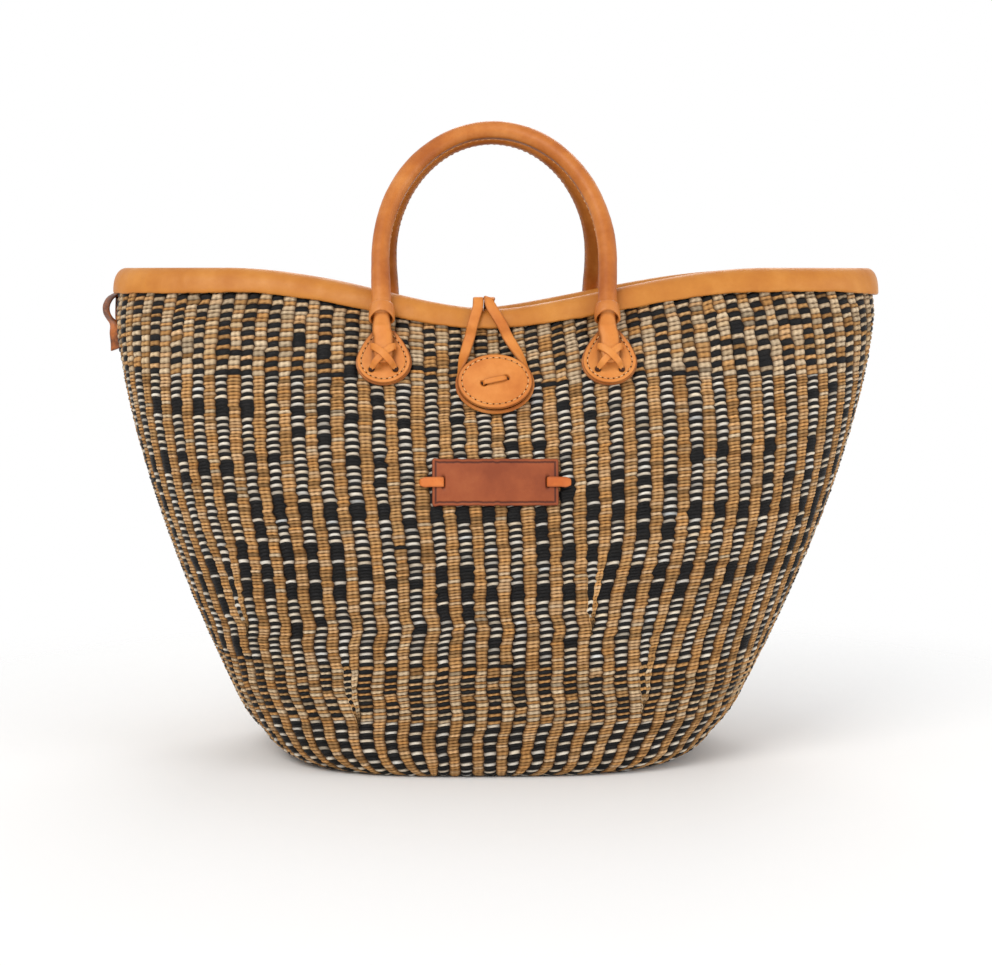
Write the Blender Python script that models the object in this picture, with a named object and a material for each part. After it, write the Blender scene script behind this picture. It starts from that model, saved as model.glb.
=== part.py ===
# Kiondo basket: a woven sisal tote with rolled leather handles, a loop and button closure and a label patch.
# Metres, +Z up. The origin is the middle of the flat base, and the front faces -Y.

import math

import bmesh
import bpy
from mathutils import Vector

# Clearance between pieces that touch, and how far a cutter runs past what it cuts
GAP = 0.0003
OVERRUN = 0.002

# Edges sharper than this stay crisp in shading
SHARP_ANGLE = math.radians(40)

# Woven body
BASE_HALF_WIDTH = 0.1435
WIDEST_HALF_WIDTH = 0.2470
WIDEST_HEIGHT = 0.288
BASE_HALF_DEPTH = 0.098
MOUTH_HALF_DEPTH = 0.075
BELLY = 0.030
RIM_HEIGHT = 0.3173
RIM_DIP = 0.026
DIP_REACH = 0.175
WALL = 0.005
BASE_EDGE = 0.007
FLARE_POWER = 1.53
DIP_POWER = 1.5
BELLY_POWER = 1.15
CORNER_POWER = 3.0
PLAN_COLUMNS = 64
BODY_ROW_SHARES = (0.0, 0.08, 0.17, 0.28, 0.4, 0.52, 0.64, 0.76, 0.88, 1.0)
BASE_ROUNDING_SHARES = (0.0, 0.35, 0.7)

# Rim binding
BINDING_HEIGHT = 0.0175
BINDING_LEATHER = 0.0022
BINDING_PLUMP = 0.0009
BINDING_SHOULDER = 0.0032

# Handles
TUBE_RADIUS = 0.0058
CORE_RADIUS = 0.0041
ARCH_HALF_SPREAD = 0.0706
ARCH_RISE = 0.093
LEG_LENGTH = 0.049
HANDLE_LEAN = math.radians(29.6)
FOOT_X = 0.0691
FOOT_DROP = 0.0262
ARCH_STEPS = 20
LEG_STEPS = 3

# Collars at the handle feet
COLLAR_HALF_WIDTH = 0.0083
COLLAR_DEPTH_FRONT = 0.0073
COLLAR_LEATHER = 0.0011
COLLAR_FIT = 0.0005
COLLAR_HEIGHT = 0.009
COLLAR_START = 0.0045
COVER_START = 0.0082

# Tabs, tongues and laces
TAB_HALF_WIDTH = 0.0172
TAB_BOWL = 0.0150
TAB_TAPER = 0.027
TAB_TAPER_POWER = 1.65
TAB_CENTRE_DROP = 0.0198
TAB_TOP = 0.0010
TAB_LEATHER = 0.0018
TAB_BACKING = 0.0016
TAB_EDGE = 0.0005
TAB_STEP = 0.0008
TONGUE_HALF_WIDTH = 0.0059
TONGUE_THICKNESS = 0.0042
TONGUE_LENGTH = 0.0225
HINGE_SLACK = 0.0005
LACE_WIDTH = 0.0056
LACE_THICKNESS = 0.0009
LACE_HOLE_X = 0.0073
LACE_HOLE_DROP = 0.0252
LACE_HOLE_RADIUS = 0.0018
LACE_NECK = 0.0020
LACE_CROSS_DROP = 0.0176
LACE_WRAP_DROP = 0.0118
KNOT_RADIUS = 0.0026
KNOT_SEAT = 0.0006
KNOT_DEPTH_SHARES = (0.0, 0.12, 0.4, 0.7, 0.9, 1.0)
KNOT_SIZE_SHARES = (0.5, 0.85, 1.0, 1.0, 0.8, 0.45)
TAB_BOWL_STEPS = 12
TAB_NECK_STEPS = 5
TONGUE_SHARES = (0.0, 0.3, 0.6, 0.85, 1.0)
TONGUE_WIDTH_SHARES = (1.0, 1.0, 1.0, 0.92, 0.5)
TONGUE_DEPTH_SHARES = (1.0, 1.0, 0.95, 0.8, 0.5)
TONGUE_SECTION_SHARES = (
    (-1.0, 0.35),
    (-0.92, 0.7),
    (-0.7, 0.95),
    (0.0, 1.0),
    (0.7, 0.95),
    (0.92, 0.7),
    (1.0, 0.35),
    (0.85, 0.03),
    (0.6, 0.0),
    (-0.6, 0.0),
    (-0.85, 0.03),
)

# Button and its thong
BUTTON_HALF_WIDTH = 0.0218
BUTTON_HALF_HEIGHT = 0.0163
BUTTON_FACE = 0.0036
BUTTON_BACK = 0.0028
BUTTON_EDGE = 0.0009
BUTTON_DROP = 0.0458
THONG_WIDTH = 0.0036
THONG_THICKNESS = 0.0016
THONG_HALF_SPAN = 0.0068
THONG_TURN = math.radians(12)
THONG_HOLE_RADIUS = 0.0023

# Closure strap and loop
STRAP_WIDTH = 0.0066
STRAP_THICKNESS = 0.0020
LOOP_PLAY = 0.0008
CREST_X = -0.0063
CREST_RISE = 0.0070
CREST_BACK = 0.0010
STRAND_GAP = 0.0005
LOOP_DROP = 0.0006
LOOP_STEPS = 14
CREST_RUN = 0.004
STRAP_SWING = 0.045
STRAP_REAR_SWING = 0.014
STRAP_SEAM = 0.014
STRAP_SEAM_DROP = 0.009
STRAP_STEPS = 12

# Label patch and its ties
LABEL_HALF_WIDTH = 0.0383
LABEL_HALF_HEIGHT = 0.0142
LABEL_LEATHER = 0.0020
LABEL_DROP = 0.1044
LABEL_EDGE = 0.0004
TIE_WIDTH = 0.0064
TIE_THICKNESS = 0.0010
TIE_INNER_X = 0.0315
TIE_OUTER_X = 0.0455
TIE_SLOT_WIDTH = 0.0032

# Side loop at the left end
SIDE_LOOP_WIDTH = 0.010
SIDE_LOOP_THICKNESS = 0.0018
SIDE_EYE_REACH = 0.0082
SIDE_EYE_HEIGHT = 0.0165
SIDE_TAIL = 0.017
SIDE_TAIL_CURL = 0.0014
SIDE_ROOT_SHARE = 0.8
SIDE_EYE_SHARES = ((0.24, 0.83), (0.62, 1.0), (0.93, 0.84), (1.0, 0.62), (0.87, 0.36), (0.52, 0.12))


# Shape of the basket


def centre_height():
    """Height of the rim in the middle of the front."""
    return RIM_HEIGHT - RIM_DIP


def half_width(z):
    """Half the outer width at height z: a flare up to the widest height that draws in again at the rim."""
    rise = max(z, 0.0) / WIDEST_HEIGHT
    return BASE_HALF_WIDTH + (WIDEST_HALF_WIDTH - BASE_HALF_WIDTH) * (1 - abs(1 - rise) ** FLARE_POWER)


def half_depth(z):
    """Half the outer depth at height z: a belly that leans back in at the mouth."""
    rise = max(z, 0.0) / centre_height()
    straight = BASE_HALF_DEPTH + (MOUTH_HALF_DEPTH - BASE_HALF_DEPTH) * rise
    return straight + BELLY * math.sin(math.pi * rise**BELLY_POWER)


def rim_height(x):
    """Height of the top of the binding: a soft V that dips in the middle."""
    reach = min(abs(x) / DIP_REACH, 1.0)
    return RIM_HEIGHT - RIM_DIP * (1 - math.sin(math.pi / 2 * reach) ** DIP_POWER)


def plan(angle):
    """Point of the unit rounded-corner oval in this direction."""
    across, along = math.cos(angle), math.sin(angle)
    reach = (abs(across) ** CORNER_POWER + abs(along) ** CORNER_POWER) ** (-1 / CORNER_POWER)
    return reach * across, reach * along


def wall_normal(x, y, z):
    """Outward normal of the outer wall at this point of it."""
    width, depth = half_width(z), half_depth(z)
    width_slope = (half_width(z + GAP) - half_width(z - GAP)) / (2 * GAP)
    depth_slope = (half_depth(z + GAP) - half_depth(z - GAP)) / (2 * GAP)
    across, along = abs(x / width), abs(y / depth)
    flare = across**CORNER_POWER * width_slope / width + along**CORNER_POWER * depth_slope / depth
    return Vector(
        (
            math.copysign(across ** (CORNER_POWER - 1) / width, x),
            math.copysign(along ** (CORNER_POWER - 1) / depth, y),
            -flare,
        )
    ).normalized()


def wall_point(angle, z, lift):
    """Point at this plan angle and height, moved off the outer wall by lift."""
    across, along = plan(angle)
    point = Vector((half_width(z) * across, half_depth(z) * along, z))
    return point + lift * wall_normal(*point)


def front_point(x, z):
    """Point of the outer front wall at this x and height."""
    share = max(1 - abs(x / half_width(z)) ** CORNER_POWER, 0.0)
    return Vector((x, -half_depth(z) * share ** (1 / CORNER_POWER), z))


def climb(x, z, up):
    """Height reached from height z by going up the front wall by this length."""
    slant = wall_normal(*front_point(x, z)).z
    middle = z + up / 2 * math.sqrt(1 - slant * slant)
    slant = wall_normal(*front_point(x, middle)).z
    return z + up * math.sqrt(1 - slant * slant)


def lay(x, up, lift, z):
    """Point on the front wall, up from height z along it and off it by lift."""
    point = front_point(x, climb(x, z, up))
    return point + lift * wall_normal(*point)


def even_angles(count):
    """Plan angles that part the rim into equal lengths."""
    fine = count * 16
    angles = [2 * math.pi * k / fine for k in range(fine + 1)]
    spots = [wall_point(angle, WIDEST_HEIGHT, 0) for angle in angles]
    lengths = [0.0]
    for before, after in zip(spots, spots[1:]):
        lengths.append(lengths[-1] + (after - before).length)
    found = []
    place = 0
    for k in range(count):
        target = lengths[-1] * k / count
        while lengths[place + 1] < target:
            place += 1
        part = (target - lengths[place]) / (lengths[place + 1] - lengths[place])
        found.append(angles[place] + part * (angles[place + 1] - angles[place]))
    return found


# Mesh building


def material(name, colour, roughness):
    """A Principled material, made once."""
    found = bpy.data.materials.get(name)
    if found:
        return found
    made = bpy.data.materials.new(name)
    made.use_nodes = True
    shader = made.node_tree.nodes["Principled BSDF"]
    shader.inputs["Base Color"].default_value = (*colour, 1.0)
    shader.inputs["Roughness"].default_value = roughness
    shader.inputs["Metallic"].default_value = 0.0
    return made


def solid(name, rings, look, closed=False, rear=False, origin=None):
    """One closed body through rings of points, capped at both ends unless the rings close on themselves."""
    flip = -1 if rear else 1
    origin = Vector((0, 0, 0)) if origin is None else origin
    shape = bmesh.new()
    rows = []
    for ring in rings:
        rows.append([shape.verts.new((p.x - origin.x, (p.y - origin.y) * flip, p.z - origin.z)) for p in ring])
    pairs = list(zip(rows, rows[1:]))
    if closed:
        pairs.append((rows[-1], rows[0]))
    count = len(rows[0])
    for low, high in pairs:
        for k in range(count):
            nxt = (k + 1) % count
            shape.faces.new((low[k], low[nxt], high[nxt], high[k]))
    if not closed:
        shape.faces.new(rows[0])
        shape.faces.new(rows[-1])
    bmesh.ops.triangulate(shape, faces=shape.faces[:])
    bmesh.ops.recalc_face_normals(shape, faces=shape.faces[:])
    mesh = bpy.data.meshes.new(name)
    shape.to_mesh(mesh)
    shape.free()
    mesh.shade_smooth()
    mesh.set_sharp_from_angle(angle=SHARP_ANGLE)
    mesh.materials.append(look)
    made = bpy.data.objects.new(name, mesh)
    made.location = (origin.x, origin.y * flip, origin.z)
    bpy.context.scene.collection.objects.link(made)
    return made


def cut(target, cutters):
    """Cuts the body through each set of rings out of the target."""
    look = target.data.materials[0]
    made = [solid(f"{target.name}_cutter", rings, look) for rings in cutters]
    for cutter in made:
        remove = target.modifiers.new(cutter.name, "BOOLEAN")
        remove.operation = "DIFFERENCE"
        remove.object = cutter
    graph = bpy.context.evaluated_depsgraph_get()
    mesh = bpy.data.meshes.new_from_object(target.evaluated_get(graph))
    target.modifiers.clear()
    target.data = mesh
    mesh.shade_smooth()
    mesh.set_sharp_from_angle(angle=SHARP_ANGLE)
    for cutter in made:
        bpy.data.objects.remove(cutter)


def spline(points, steps):
    """Points of a smooth curve through these points, steps to each span."""
    ends = [2 * points[0] - points[1], *points, 2 * points[-1] - points[-2]]
    curve = []
    for a, b, c, d in zip(ends, ends[1:], ends[2:], ends[3:]):
        for k in range(steps):
            t = k / steps
            curve.append(
                0.5 * (2 * b + (c - a) * t + (2 * a - 5 * b + 4 * c - d) * t * t + (3 * b - a - 3 * c + d) * t**3)
            )
    curve.append(points[-1].copy())
    return curve


def ribbon(path, faces, widths, thickness):
    """Rings of a flat strip along a path, whose flat side faces along the given normals."""
    rings = []
    for k, centre in enumerate(path):
        before = path[max(k - 1, 0)]
        after = path[min(k + 1, len(path) - 1)]
        tangent = (after - before).normalized()
        side = tangent.cross(faces[k]).normalized()
        face = side.cross(tangent).normalized()
        wide = side * widths[k] / 2
        deep = face * thickness / 2
        rings.append([centre + wide + deep, centre - wide + deep, centre - wide - deep, centre + wide - deep])
    return rings


def strip(stops, steps, thickness):
    """Rings of a strip through stops of (point, face normal, width)."""
    path = spline([Vector(stop[0]) for stop in stops], steps)
    faces = spline([Vector(stop[1]) for stop in stops], steps)
    widths = spline([Vector((stop[2], 0, 0)) for stop in stops], steps)
    return ribbon(path, faces, [width.x for width in widths], thickness)


def oval(half_x, half_y, count):
    """Outline of an ellipse."""
    turns = [2 * math.pi * k / count for k in range(count)]
    return [(half_x * math.cos(turn), half_y * math.sin(turn)) for turn in turns]


def inset(outline, amount):
    """The outline drawn in towards its middle by about this amount."""
    middle_x = sum(p[0] for p in outline) / len(outline)
    middle_y = sum(p[1] for p in outline) / len(outline)
    drawn = []
    for x, y in outline:
        reach = math.hypot(x - middle_x, y - middle_y)
        share = (reach - amount) / reach
        drawn.append((middle_x + (x - middle_x) * share, middle_y + (y - middle_y) * share))
    return drawn


def pad(outline, x, z, lift, thickness, edge):
    """Rings of a flat leather piece that follows the front wall, with eased edges."""
    core = [(px / 2, py / 2) for px, py in outline]
    levels = [
        (core, lift),
        (inset(outline, edge), lift),
        (outline, lift + edge),
        (outline, lift + thickness - edge),
        (inset(outline, edge), lift + thickness),
        (core, lift + thickness),
    ]
    return [[lay(x + px, py, height, z) for px, py in shape] for shape, height in levels]


def bore(x, up, z, radius, low, high, count=8):
    """Rings of a round cutter through what lies on the front wall."""
    rounds = oval(radius, radius, count)
    return [[lay(x + px, up + py, height, z) for px, py in rounds] for height in (low, high)]


# Colours of the leathers and the weave
def weave_look():
    return material("sisal", (0.42, 0.30, 0.17), 0.85)


def rim_look():
    return material("rim_leather", (0.62, 0.30, 0.10), 0.5)


def handle_look():
    return material("handle_leather", (0.58, 0.25, 0.07), 0.48)


def core_look():
    return material("core_leather", (0.66, 0.29, 0.09), 0.55)


def tab_look():
    return material("tab_leather", (0.75, 0.33, 0.10), 0.5)


def label_look():
    return material("label_leather", (0.45, 0.13, 0.05), 0.5)


def tie_look():
    return material("tie_leather", (0.70, 0.26, 0.09), 0.5)


def dark_look():
    return material("dark_leather", (0.16, 0.07, 0.03), 0.55)


# Basket and binding


def edge_height(angle, drop):
    """Height on the wall this far along it from the top of the binding."""
    across, _ = plan(angle)
    top = rim_height(WIDEST_HALF_WIDTH * across)
    slant = wall_normal(*wall_point(angle, top, 0)).z
    return top + drop * math.sqrt(1 - slant * slant)


def woven_body():
    """Closed shell with an open mouth: outer wall up, inner wall down, flat base."""
    angles = even_angles(PLAN_COLUMNS)
    rings = []
    for share in BASE_ROUNDING_SHARES:
        turn = share * math.pi / 2
        drop = BASE_EDGE * (1 - math.sin(turn))
        ring = [wall_point(angle, BASE_EDGE, -drop) for angle in angles]
        z = BASE_EDGE * (1 - math.cos(turn))
        rings.append([Vector((point.x, point.y, z)) for point in ring])
    shares = [*BODY_ROW_SHARES, None]
    for start, lift, order in ((BASE_EDGE, 0, shares), (BASE_EDGE + WALL, -WALL, shares[::-1])):
        for share in order:
            ring = []
            for angle in angles:
                z = edge_height(angle, -BINDING_LEATHER - 2 * GAP)
                if share is not None:
                    z = start + (edge_height(angle, -BINDING_HEIGHT) - start) * share
                ring.append(wall_point(angle, z, lift))
            rings.append(ring)
    inner = [wall_point(angle, BASE_EDGE + WALL, -WALL - BASE_EDGE / 2) for angle in angles]
    rings.append([Vector((point.x, point.y, WALL)) for point in inner])
    return solid("woven_body", rings, weave_look())


def binding_profile():
    """Section of the folded binding as (lift off the outer wall, distance along the wall from its top)."""
    outer = GAP + BINDING_LEATHER
    inner = -WALL - outer
    low = -BINDING_HEIGHT
    fold = -BINDING_LEATHER - GAP
    return [
        (GAP, low),
        (outer, low),
        (outer + BINDING_PLUMP, low / 2),
        (outer, -BINDING_SHOULDER),
        (-WALL / 2 + outer / 2, 0.0),
        (-WALL / 2 - outer / 2, 0.0),
        (inner, -BINDING_SHOULDER),
        (inner - BINDING_PLUMP, low / 2),
        (inner, low),
        (-WALL - GAP, low),
        (-WALL - GAP, fold),
        (GAP, fold),
    ]


def rim_binding():
    rings = []
    for angle in even_angles(PLAN_COLUMNS):
        profile = binding_profile()
        rings.append([wall_point(angle, edge_height(angle, drop), lift) for lift, drop in profile])
    return solid("rim_binding", rings, rim_look(), closed=True)


# Handle foot: heights of the layers off the wall


def tab_lift():
    return GAP + TAB_BACKING + GAP


def tab_top_lift():
    return tab_lift() + TAB_LEATHER


def tongue_lift():
    return tab_top_lift() + GAP + LACE_THICKNESS + GAP


def axis_lift():
    """The handle folds along the front of its tongue."""
    return tongue_lift() + TONGUE_THICKNESS


def foot_height():
    """Height on the wall of a handle's fold."""
    return rim_height(FOOT_X) - FOOT_DROP


def handle_axes():
    """Fold point in the YZ plane, and the handle's own up and outward directions."""
    base = front_point(FOOT_X, foot_height())
    out = wall_normal(*base)
    out = Vector((0, out.y, out.z)).normalized()
    fold = base + axis_lift() * out
    fold.x = 0
    up = Vector((0, math.sin(HANDLE_LEAN), math.cos(HANDLE_LEAN)))
    outward = Vector((0, -math.cos(HANDLE_LEAN), math.sin(HANDLE_LEAN)))
    return fold, up, outward


def leg_offset():
    """How far the handle's centre line stands outside the fold: it rests on the plumpest part of the binding."""
    fold, _, outward = handle_axes()
    reach = -math.inf
    for step in range(-4, 5):
        x = FOOT_X + TUBE_RADIUS * step / 4
        top = rim_height(x)
        for lift, drop in binding_profile()[1:5]:
            point = lay(x, drop, lift, top)
            reach = max(reach, (point - fold).dot(outward))
    return reach + GAP + TUBE_RADIUS


def handle_point(x, up, out):
    """Point in a handle's own directions: along x, up the handle and outward of the fold."""
    fold, up_axis, out_axis = handle_axes()
    return Vector((x, fold.y, fold.z)) + up * up_axis + out * out_axis


def handle_path(start):
    """Centre line of a handle from its left foot over the arch, as (x, up) and the outward side in that plane."""
    spots = []
    for k in range(LEG_STEPS):
        share = k / LEG_STEPS
        up = start + (LEG_LENGTH - start) * share
        ease = up / LEG_LENGTH
        spots.append((-FOOT_X - (ARCH_HALF_SPREAD - FOOT_X) * ease * ease * (3 - 2 * ease), up))
    for k in range(ARCH_STEPS + 1):
        turn = math.pi * k / ARCH_STEPS
        spots.append((-ARCH_HALF_SPREAD * math.cos(turn), LEG_LENGTH + ARCH_RISE * math.sin(turn)))
    for x, up in reversed(spots[:LEG_STEPS]):
        spots.append((-x, up))
    return spots


def path_sides(spots):
    """Unit vectors square to the path, pointing out of the arch."""
    sides = []
    for k in range(len(spots)):
        before = spots[max(k - 1, 0)]
        after = spots[min(k + 1, len(spots) - 1)]
        along = Vector((after[0] - before[0], after[1] - before[1])).normalized()
        sides.append((-along.y, along.x))
    return sides


def round_ring(spot, side, radius, count, offset):
    """Ring of a tube at one spot of the handle's path."""
    ring = []
    for k in range(count):
        turn = 2 * math.pi * k / count
        reach = radius * math.cos(turn)
        ring.append(
            handle_point(spot[0] + side[0] * reach, spot[1] + side[1] * reach, offset + radius * math.sin(turn))
        )
    return ring


def handle_cover(end):
    """Rolled leather tube of one handle."""
    spots = handle_path(COVER_START)
    sides = path_sides(spots)
    offset = leg_offset()
    bore_radius = CORE_RADIUS + GAP
    outer = [round_ring(spot, side, TUBE_RADIUS, 10, offset) for spot, side in zip(spots, sides)]
    inner = [round_ring(spot, side, bore_radius, 10, offset) for spot, side in zip(spots, sides)]
    rings = outer + inner[::-1]
    rear = end == "rear"
    return solid(f"{end}_handle_cover", rings, handle_look(), closed=True, rear=rear, origin=handle_axes()[0])


def core_end_rings(side):
    """Flattened end of the core, from the cover down to the fold, as rings from the fold up."""
    offset = leg_offset()
    rings = []
    shares = (0.0, 0.25, 0.5, 0.8)
    for share in shares:
        up = GAP / 2 + (COVER_START - GAP) * share
        ease = share * share * (3 - 2 * share)
        out = -TONGUE_THICKNESS / 2 + (offset + TONGUE_THICKNESS / 2) * ease
        wide = TONGUE_HALF_WIDTH + (CORE_RADIUS * 0.96 - TONGUE_HALF_WIDTH) * ease
        deep = TONGUE_THICKNESS / 2 + (CORE_RADIUS * 0.96 - TONGUE_THICKNESS / 2) * ease
        ring = []
        for k in range(8):
            turn = 2 * math.pi * k / 8
            ring.append(handle_point(side * FOOT_X - wide * math.cos(turn) * 1, up, out + deep * math.sin(turn)))
        rings.append(ring)
    return rings


def handle_core(end):
    """Rope core of one handle, whose flat ends come out of the collars."""
    spots = handle_path(COVER_START)
    sides = path_sides(spots)
    offset = leg_offset()
    radius = CORE_RADIUS * 0.96
    middle = [round_ring(spot, side, radius, 8, offset) for spot, side in zip(spots, sides)]
    left = core_end_rings(-1)
    right = []
    for ring in reversed(core_end_rings(1)):
        right.append([Vector((2 * FOOT_X - p.x, p.y, p.z)) for p in ring])
    rings = left + middle + right
    return solid(f"{end}_handle_core", rings, core_look(), rear=end == "rear", origin=handle_axes()[0])


def collar(end, name, side):
    """Flared leather mouth at the end of a handle cover."""
    offset = leg_offset()
    snug = TUBE_RADIUS + COLLAR_FIT
    rear_reach = offset + TONGUE_THICKNESS + GAP + COLLAR_LEATHER
    flare_shares = (0.0, 0.25, 0.5, 0.75, 1.0)
    swell_shares = (0.95, 1.0, 0.94, 0.6, 0.0)
    outer, inner = [], []
    for share, swell in zip(flare_shares, swell_shares):
        up = COLLAR_START + COLLAR_HEIGHT * share
        small = snug + COLLAR_LEATHER
        wide = small + (COLLAR_HALF_WIDTH - small) * swell
        front = small + (COLLAR_DEPTH_FRONT - small) * swell
        back = small + max(rear_reach - small, 0.0) * swell
        rings = []
        for leather in (0.0, COLLAR_LEATHER):
            ring = []
            for k in range(14):
                turn = 2 * math.pi * k / 14
                deep = front if math.sin(turn) > 0 else back
                x = side * FOOT_X + (wide - leather) * math.cos(turn)
                ring.append(handle_point(x, up, offset + (deep - leather) * math.sin(turn)))
            rings.append(ring)
        outer.append(rings[0])
        inner.append(rings[1])
    rings = outer + inner[::-1]
    rear = end == "rear"
    return solid(f"{end}_{name}_collar", rings, handle_look(), closed=True, rear=rear, origin=handle_axes()[0])


# Tabs, tongues and laces on the wall


def tab_outline(shrink):
    """Teardrop about the middle of its bowl, with a neck that ends under the collar."""
    half, bowl = TAB_HALF_WIDTH - shrink, TAB_BOWL - shrink
    points = []
    for k in range(TAB_BOWL_STEPS + 1):
        turn = math.pi + math.pi * k / TAB_BOWL_STEPS
        points.append((half * math.cos(turn), bowl * math.sin(turn)))
    neck = []
    for k in range(1, TAB_NECK_STEPS + 1):
        up = (TAB_CENTRE_DROP + TAB_TOP - shrink) * k / TAB_NECK_STEPS
        neck.append((half * (1 - (up / TAB_TAPER) ** TAB_TAPER_POWER), up))
    points += neck
    points.append((0, neck[-1][1]))
    points += [(-x, up) for x, up in reversed(neck)]
    return points


def tab_layer(end, name, side, layer, lift, thickness, shrink):
    """One leather layer of a tab, with two lace holes."""
    x, z = side * FOOT_X, climb(FOOT_X, foot_height(), -TAB_CENTRE_DROP)
    rings = pad(tab_outline(shrink), x, z, lift, thickness, TAB_EDGE)
    made = solid(f"{end}_{name}_tab_{layer}", rings, tab_look(), rear=end == "rear")
    flip = -1 if end == "rear" else 1
    low, high = lift - OVERRUN, lift + thickness + OVERRUN
    bores = []
    for hole in (-1, 1):
        rings = bore(x + hole * LACE_HOLE_X, -LACE_HOLE_DROP, foot_height(), LACE_HOLE_RADIUS, low, high)
        bores.append([[Vector((p.x, p.y * flip, p.z)) for p in ring] for ring in rings])
    cut(made, bores)
    return made


def tongue(end, name, side):
    """Flat end of the core, held on the tab by the lace."""
    rings = []
    for share, wide, deep in zip(TONGUE_SHARES, TONGUE_WIDTH_SHARES, TONGUE_DEPTH_SHARES):
        up = -HINGE_SLACK - (TONGUE_LENGTH - HINGE_SLACK) * share
        half = TONGUE_HALF_WIDTH * wide
        thick = TONGUE_THICKNESS * deep
        ring = []
        for across, level in TONGUE_SECTION_SHARES:
            ring.append(lay(side * FOOT_X + half * across, up, tongue_lift() + thick * level, foot_height()))
        rings.append(ring)
    return solid(f"{end}_{name}_tongue", rings, tab_look(), rear=end == "rear")


def lace_stops():
    """Half of the lace, from the crossing round the tongue to the middle behind it, then its end in the hole."""
    clear = GAP + LACE_THICKNESS / 2
    behind = tab_top_lift() + clear
    front = tongue_lift() + TONGUE_THICKNESS + clear
    half = TONGUE_HALF_WIDTH
    back = tongue_lift() - clear
    rise = LACE_CROSS_DROP - LACE_WRAP_DROP
    wide = LACE_WIDTH
    spread = half + clear + 1.4 * GAP
    wrap = [
        ((0, -LACE_CROSS_DROP, front), (0, 0, 1), wide),
        ((half * 0.55, -LACE_CROSS_DROP + rise * 0.5, front - GAP), (0.15, 0, 1), wide),
        ((half * 0.92 + 1.6 * GAP, -LACE_CROSS_DROP + rise * 0.85, front - clear * 1.4), (0.8, 0, 0.7), wide * 0.9),
        ((spread, -LACE_WRAP_DROP, (front + back) / 2), (1, 0, 0), wide * 0.8),
        ((spread - GAP / 2, -LACE_WRAP_DROP, back + clear), (1, 0, -0.3), wide * 0.8),
        ((half * 0.93, -LACE_WRAP_DROP, behind + GAP / 3), (0.6, 0, -0.8), wide * 0.8),
        ((half * 0.6, -LACE_WRAP_DROP, behind), (0, 0, -1), wide * 0.8),
    ]
    drop = LACE_HOLE_DROP - LACE_CROSS_DROP
    along = Vector((LACE_HOLE_X, drop)).normalized()
    top = tab_top_lift()
    dive = [
        ((LACE_HOLE_X, -LACE_HOLE_DROP, GAP), (along.x, -along.y, 0), LACE_NECK),
        ((LACE_HOLE_X, -LACE_HOLE_DROP, top + clear), (along.x, -along.y, 0.15), LACE_NECK),
        ((LACE_HOLE_X * 0.88, -LACE_HOLE_DROP + drop * 0.12, top + clear * 3), (0.7 * along.x, -0.7 * along.y, 0.7), LACE_NECK * 1.5),
        ((LACE_HOLE_X * 0.62, -LACE_HOLE_DROP + drop * 0.38, front - clear), (0.3 * along.x, -0.3 * along.y, 1), wide * 0.9),
    ]
    return wrap, dive


def lace(end, name, side):
    """One thong: up out of a hole, across the tongue, behind it, across again and down the other hole."""
    wrap, dive = lace_stops()

    def mirrored(stops):
        return [((-p[0], p[1], p[2]), (-n[0], n[1], n[2]), width) for p, n, width in stops]

    raised = []
    step = LACE_THICKNESS + GAP
    for k, (place, normal, width) in enumerate(mirrored(wrap)):
        extra = step * max(1 - k / 2, 0)
        raised.append(((place[0], place[1], place[2] + extra), normal, width))
    last = []
    for k, (place, normal, width) in enumerate(reversed(dive)):
        extra = step * (0.7 if k == 0 else 0)
        last.append(((place[0], place[1], place[2] + extra), normal, width))
    stops = mirrored(dive) + wrap + raised[::-1] + last
    flat = strip(stops, 2, LACE_THICKNESS)
    x = side * FOOT_X
    rings = [[lay(x + p.x, p.y, p.z, foot_height()) for p in ring] for ring in flat]
    return solid(f"{end}_{name}_lace", rings, tab_look(), rear=end == "rear")


def knot(name, x, up, z, radius, look, rear=False):
    """Knot of a thong's ends, against the inner wall."""
    rings = []
    for share, size in zip(KNOT_DEPTH_SHARES, KNOT_SIZE_SHARES):
        lift = -WALL - KNOT_SEAT - 1.5 * radius * share
        rounds = oval(radius * 1.3 * size, radius * size, 8)
        rings.append([lay(x + px, up + py, lift, z) for px, py in rounds])
    return solid(name, rings, look, rear=rear)


# Button, loop and strap


def button_height():
    return rim_height(0) - BUTTON_DROP


def button_layer(name, lift, thickness, shrink):
    """One oval leather layer of the button, with two thong holes."""
    outline = oval(BUTTON_HALF_WIDTH - shrink, BUTTON_HALF_HEIGHT - shrink, 28)
    rings = pad(outline, 0, button_height(), lift, thickness, BUTTON_EDGE)
    made = solid(name, rings, tab_look(), origin=button_hinge())
    low, high = lift - OVERRUN, lift + thickness + OVERRUN
    bores = []
    for hole in (-1, 1):
        x = hole * THONG_HALF_SPAN * math.cos(THONG_TURN)
        up = hole * THONG_HALF_SPAN * math.sin(THONG_TURN)
        bores.append(bore(x, up, button_height(), THONG_HOLE_RADIUS, low, high))
    cut(made, bores)
    return made


def button_hinge():
    """The button tips out about the top of its back edge."""
    return lay(0, BUTTON_HALF_HEIGHT - BUTTON_EDGE, GAP, button_height())


def button_top():
    return GAP + BUTTON_BACK + GAP + BUTTON_FACE


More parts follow.
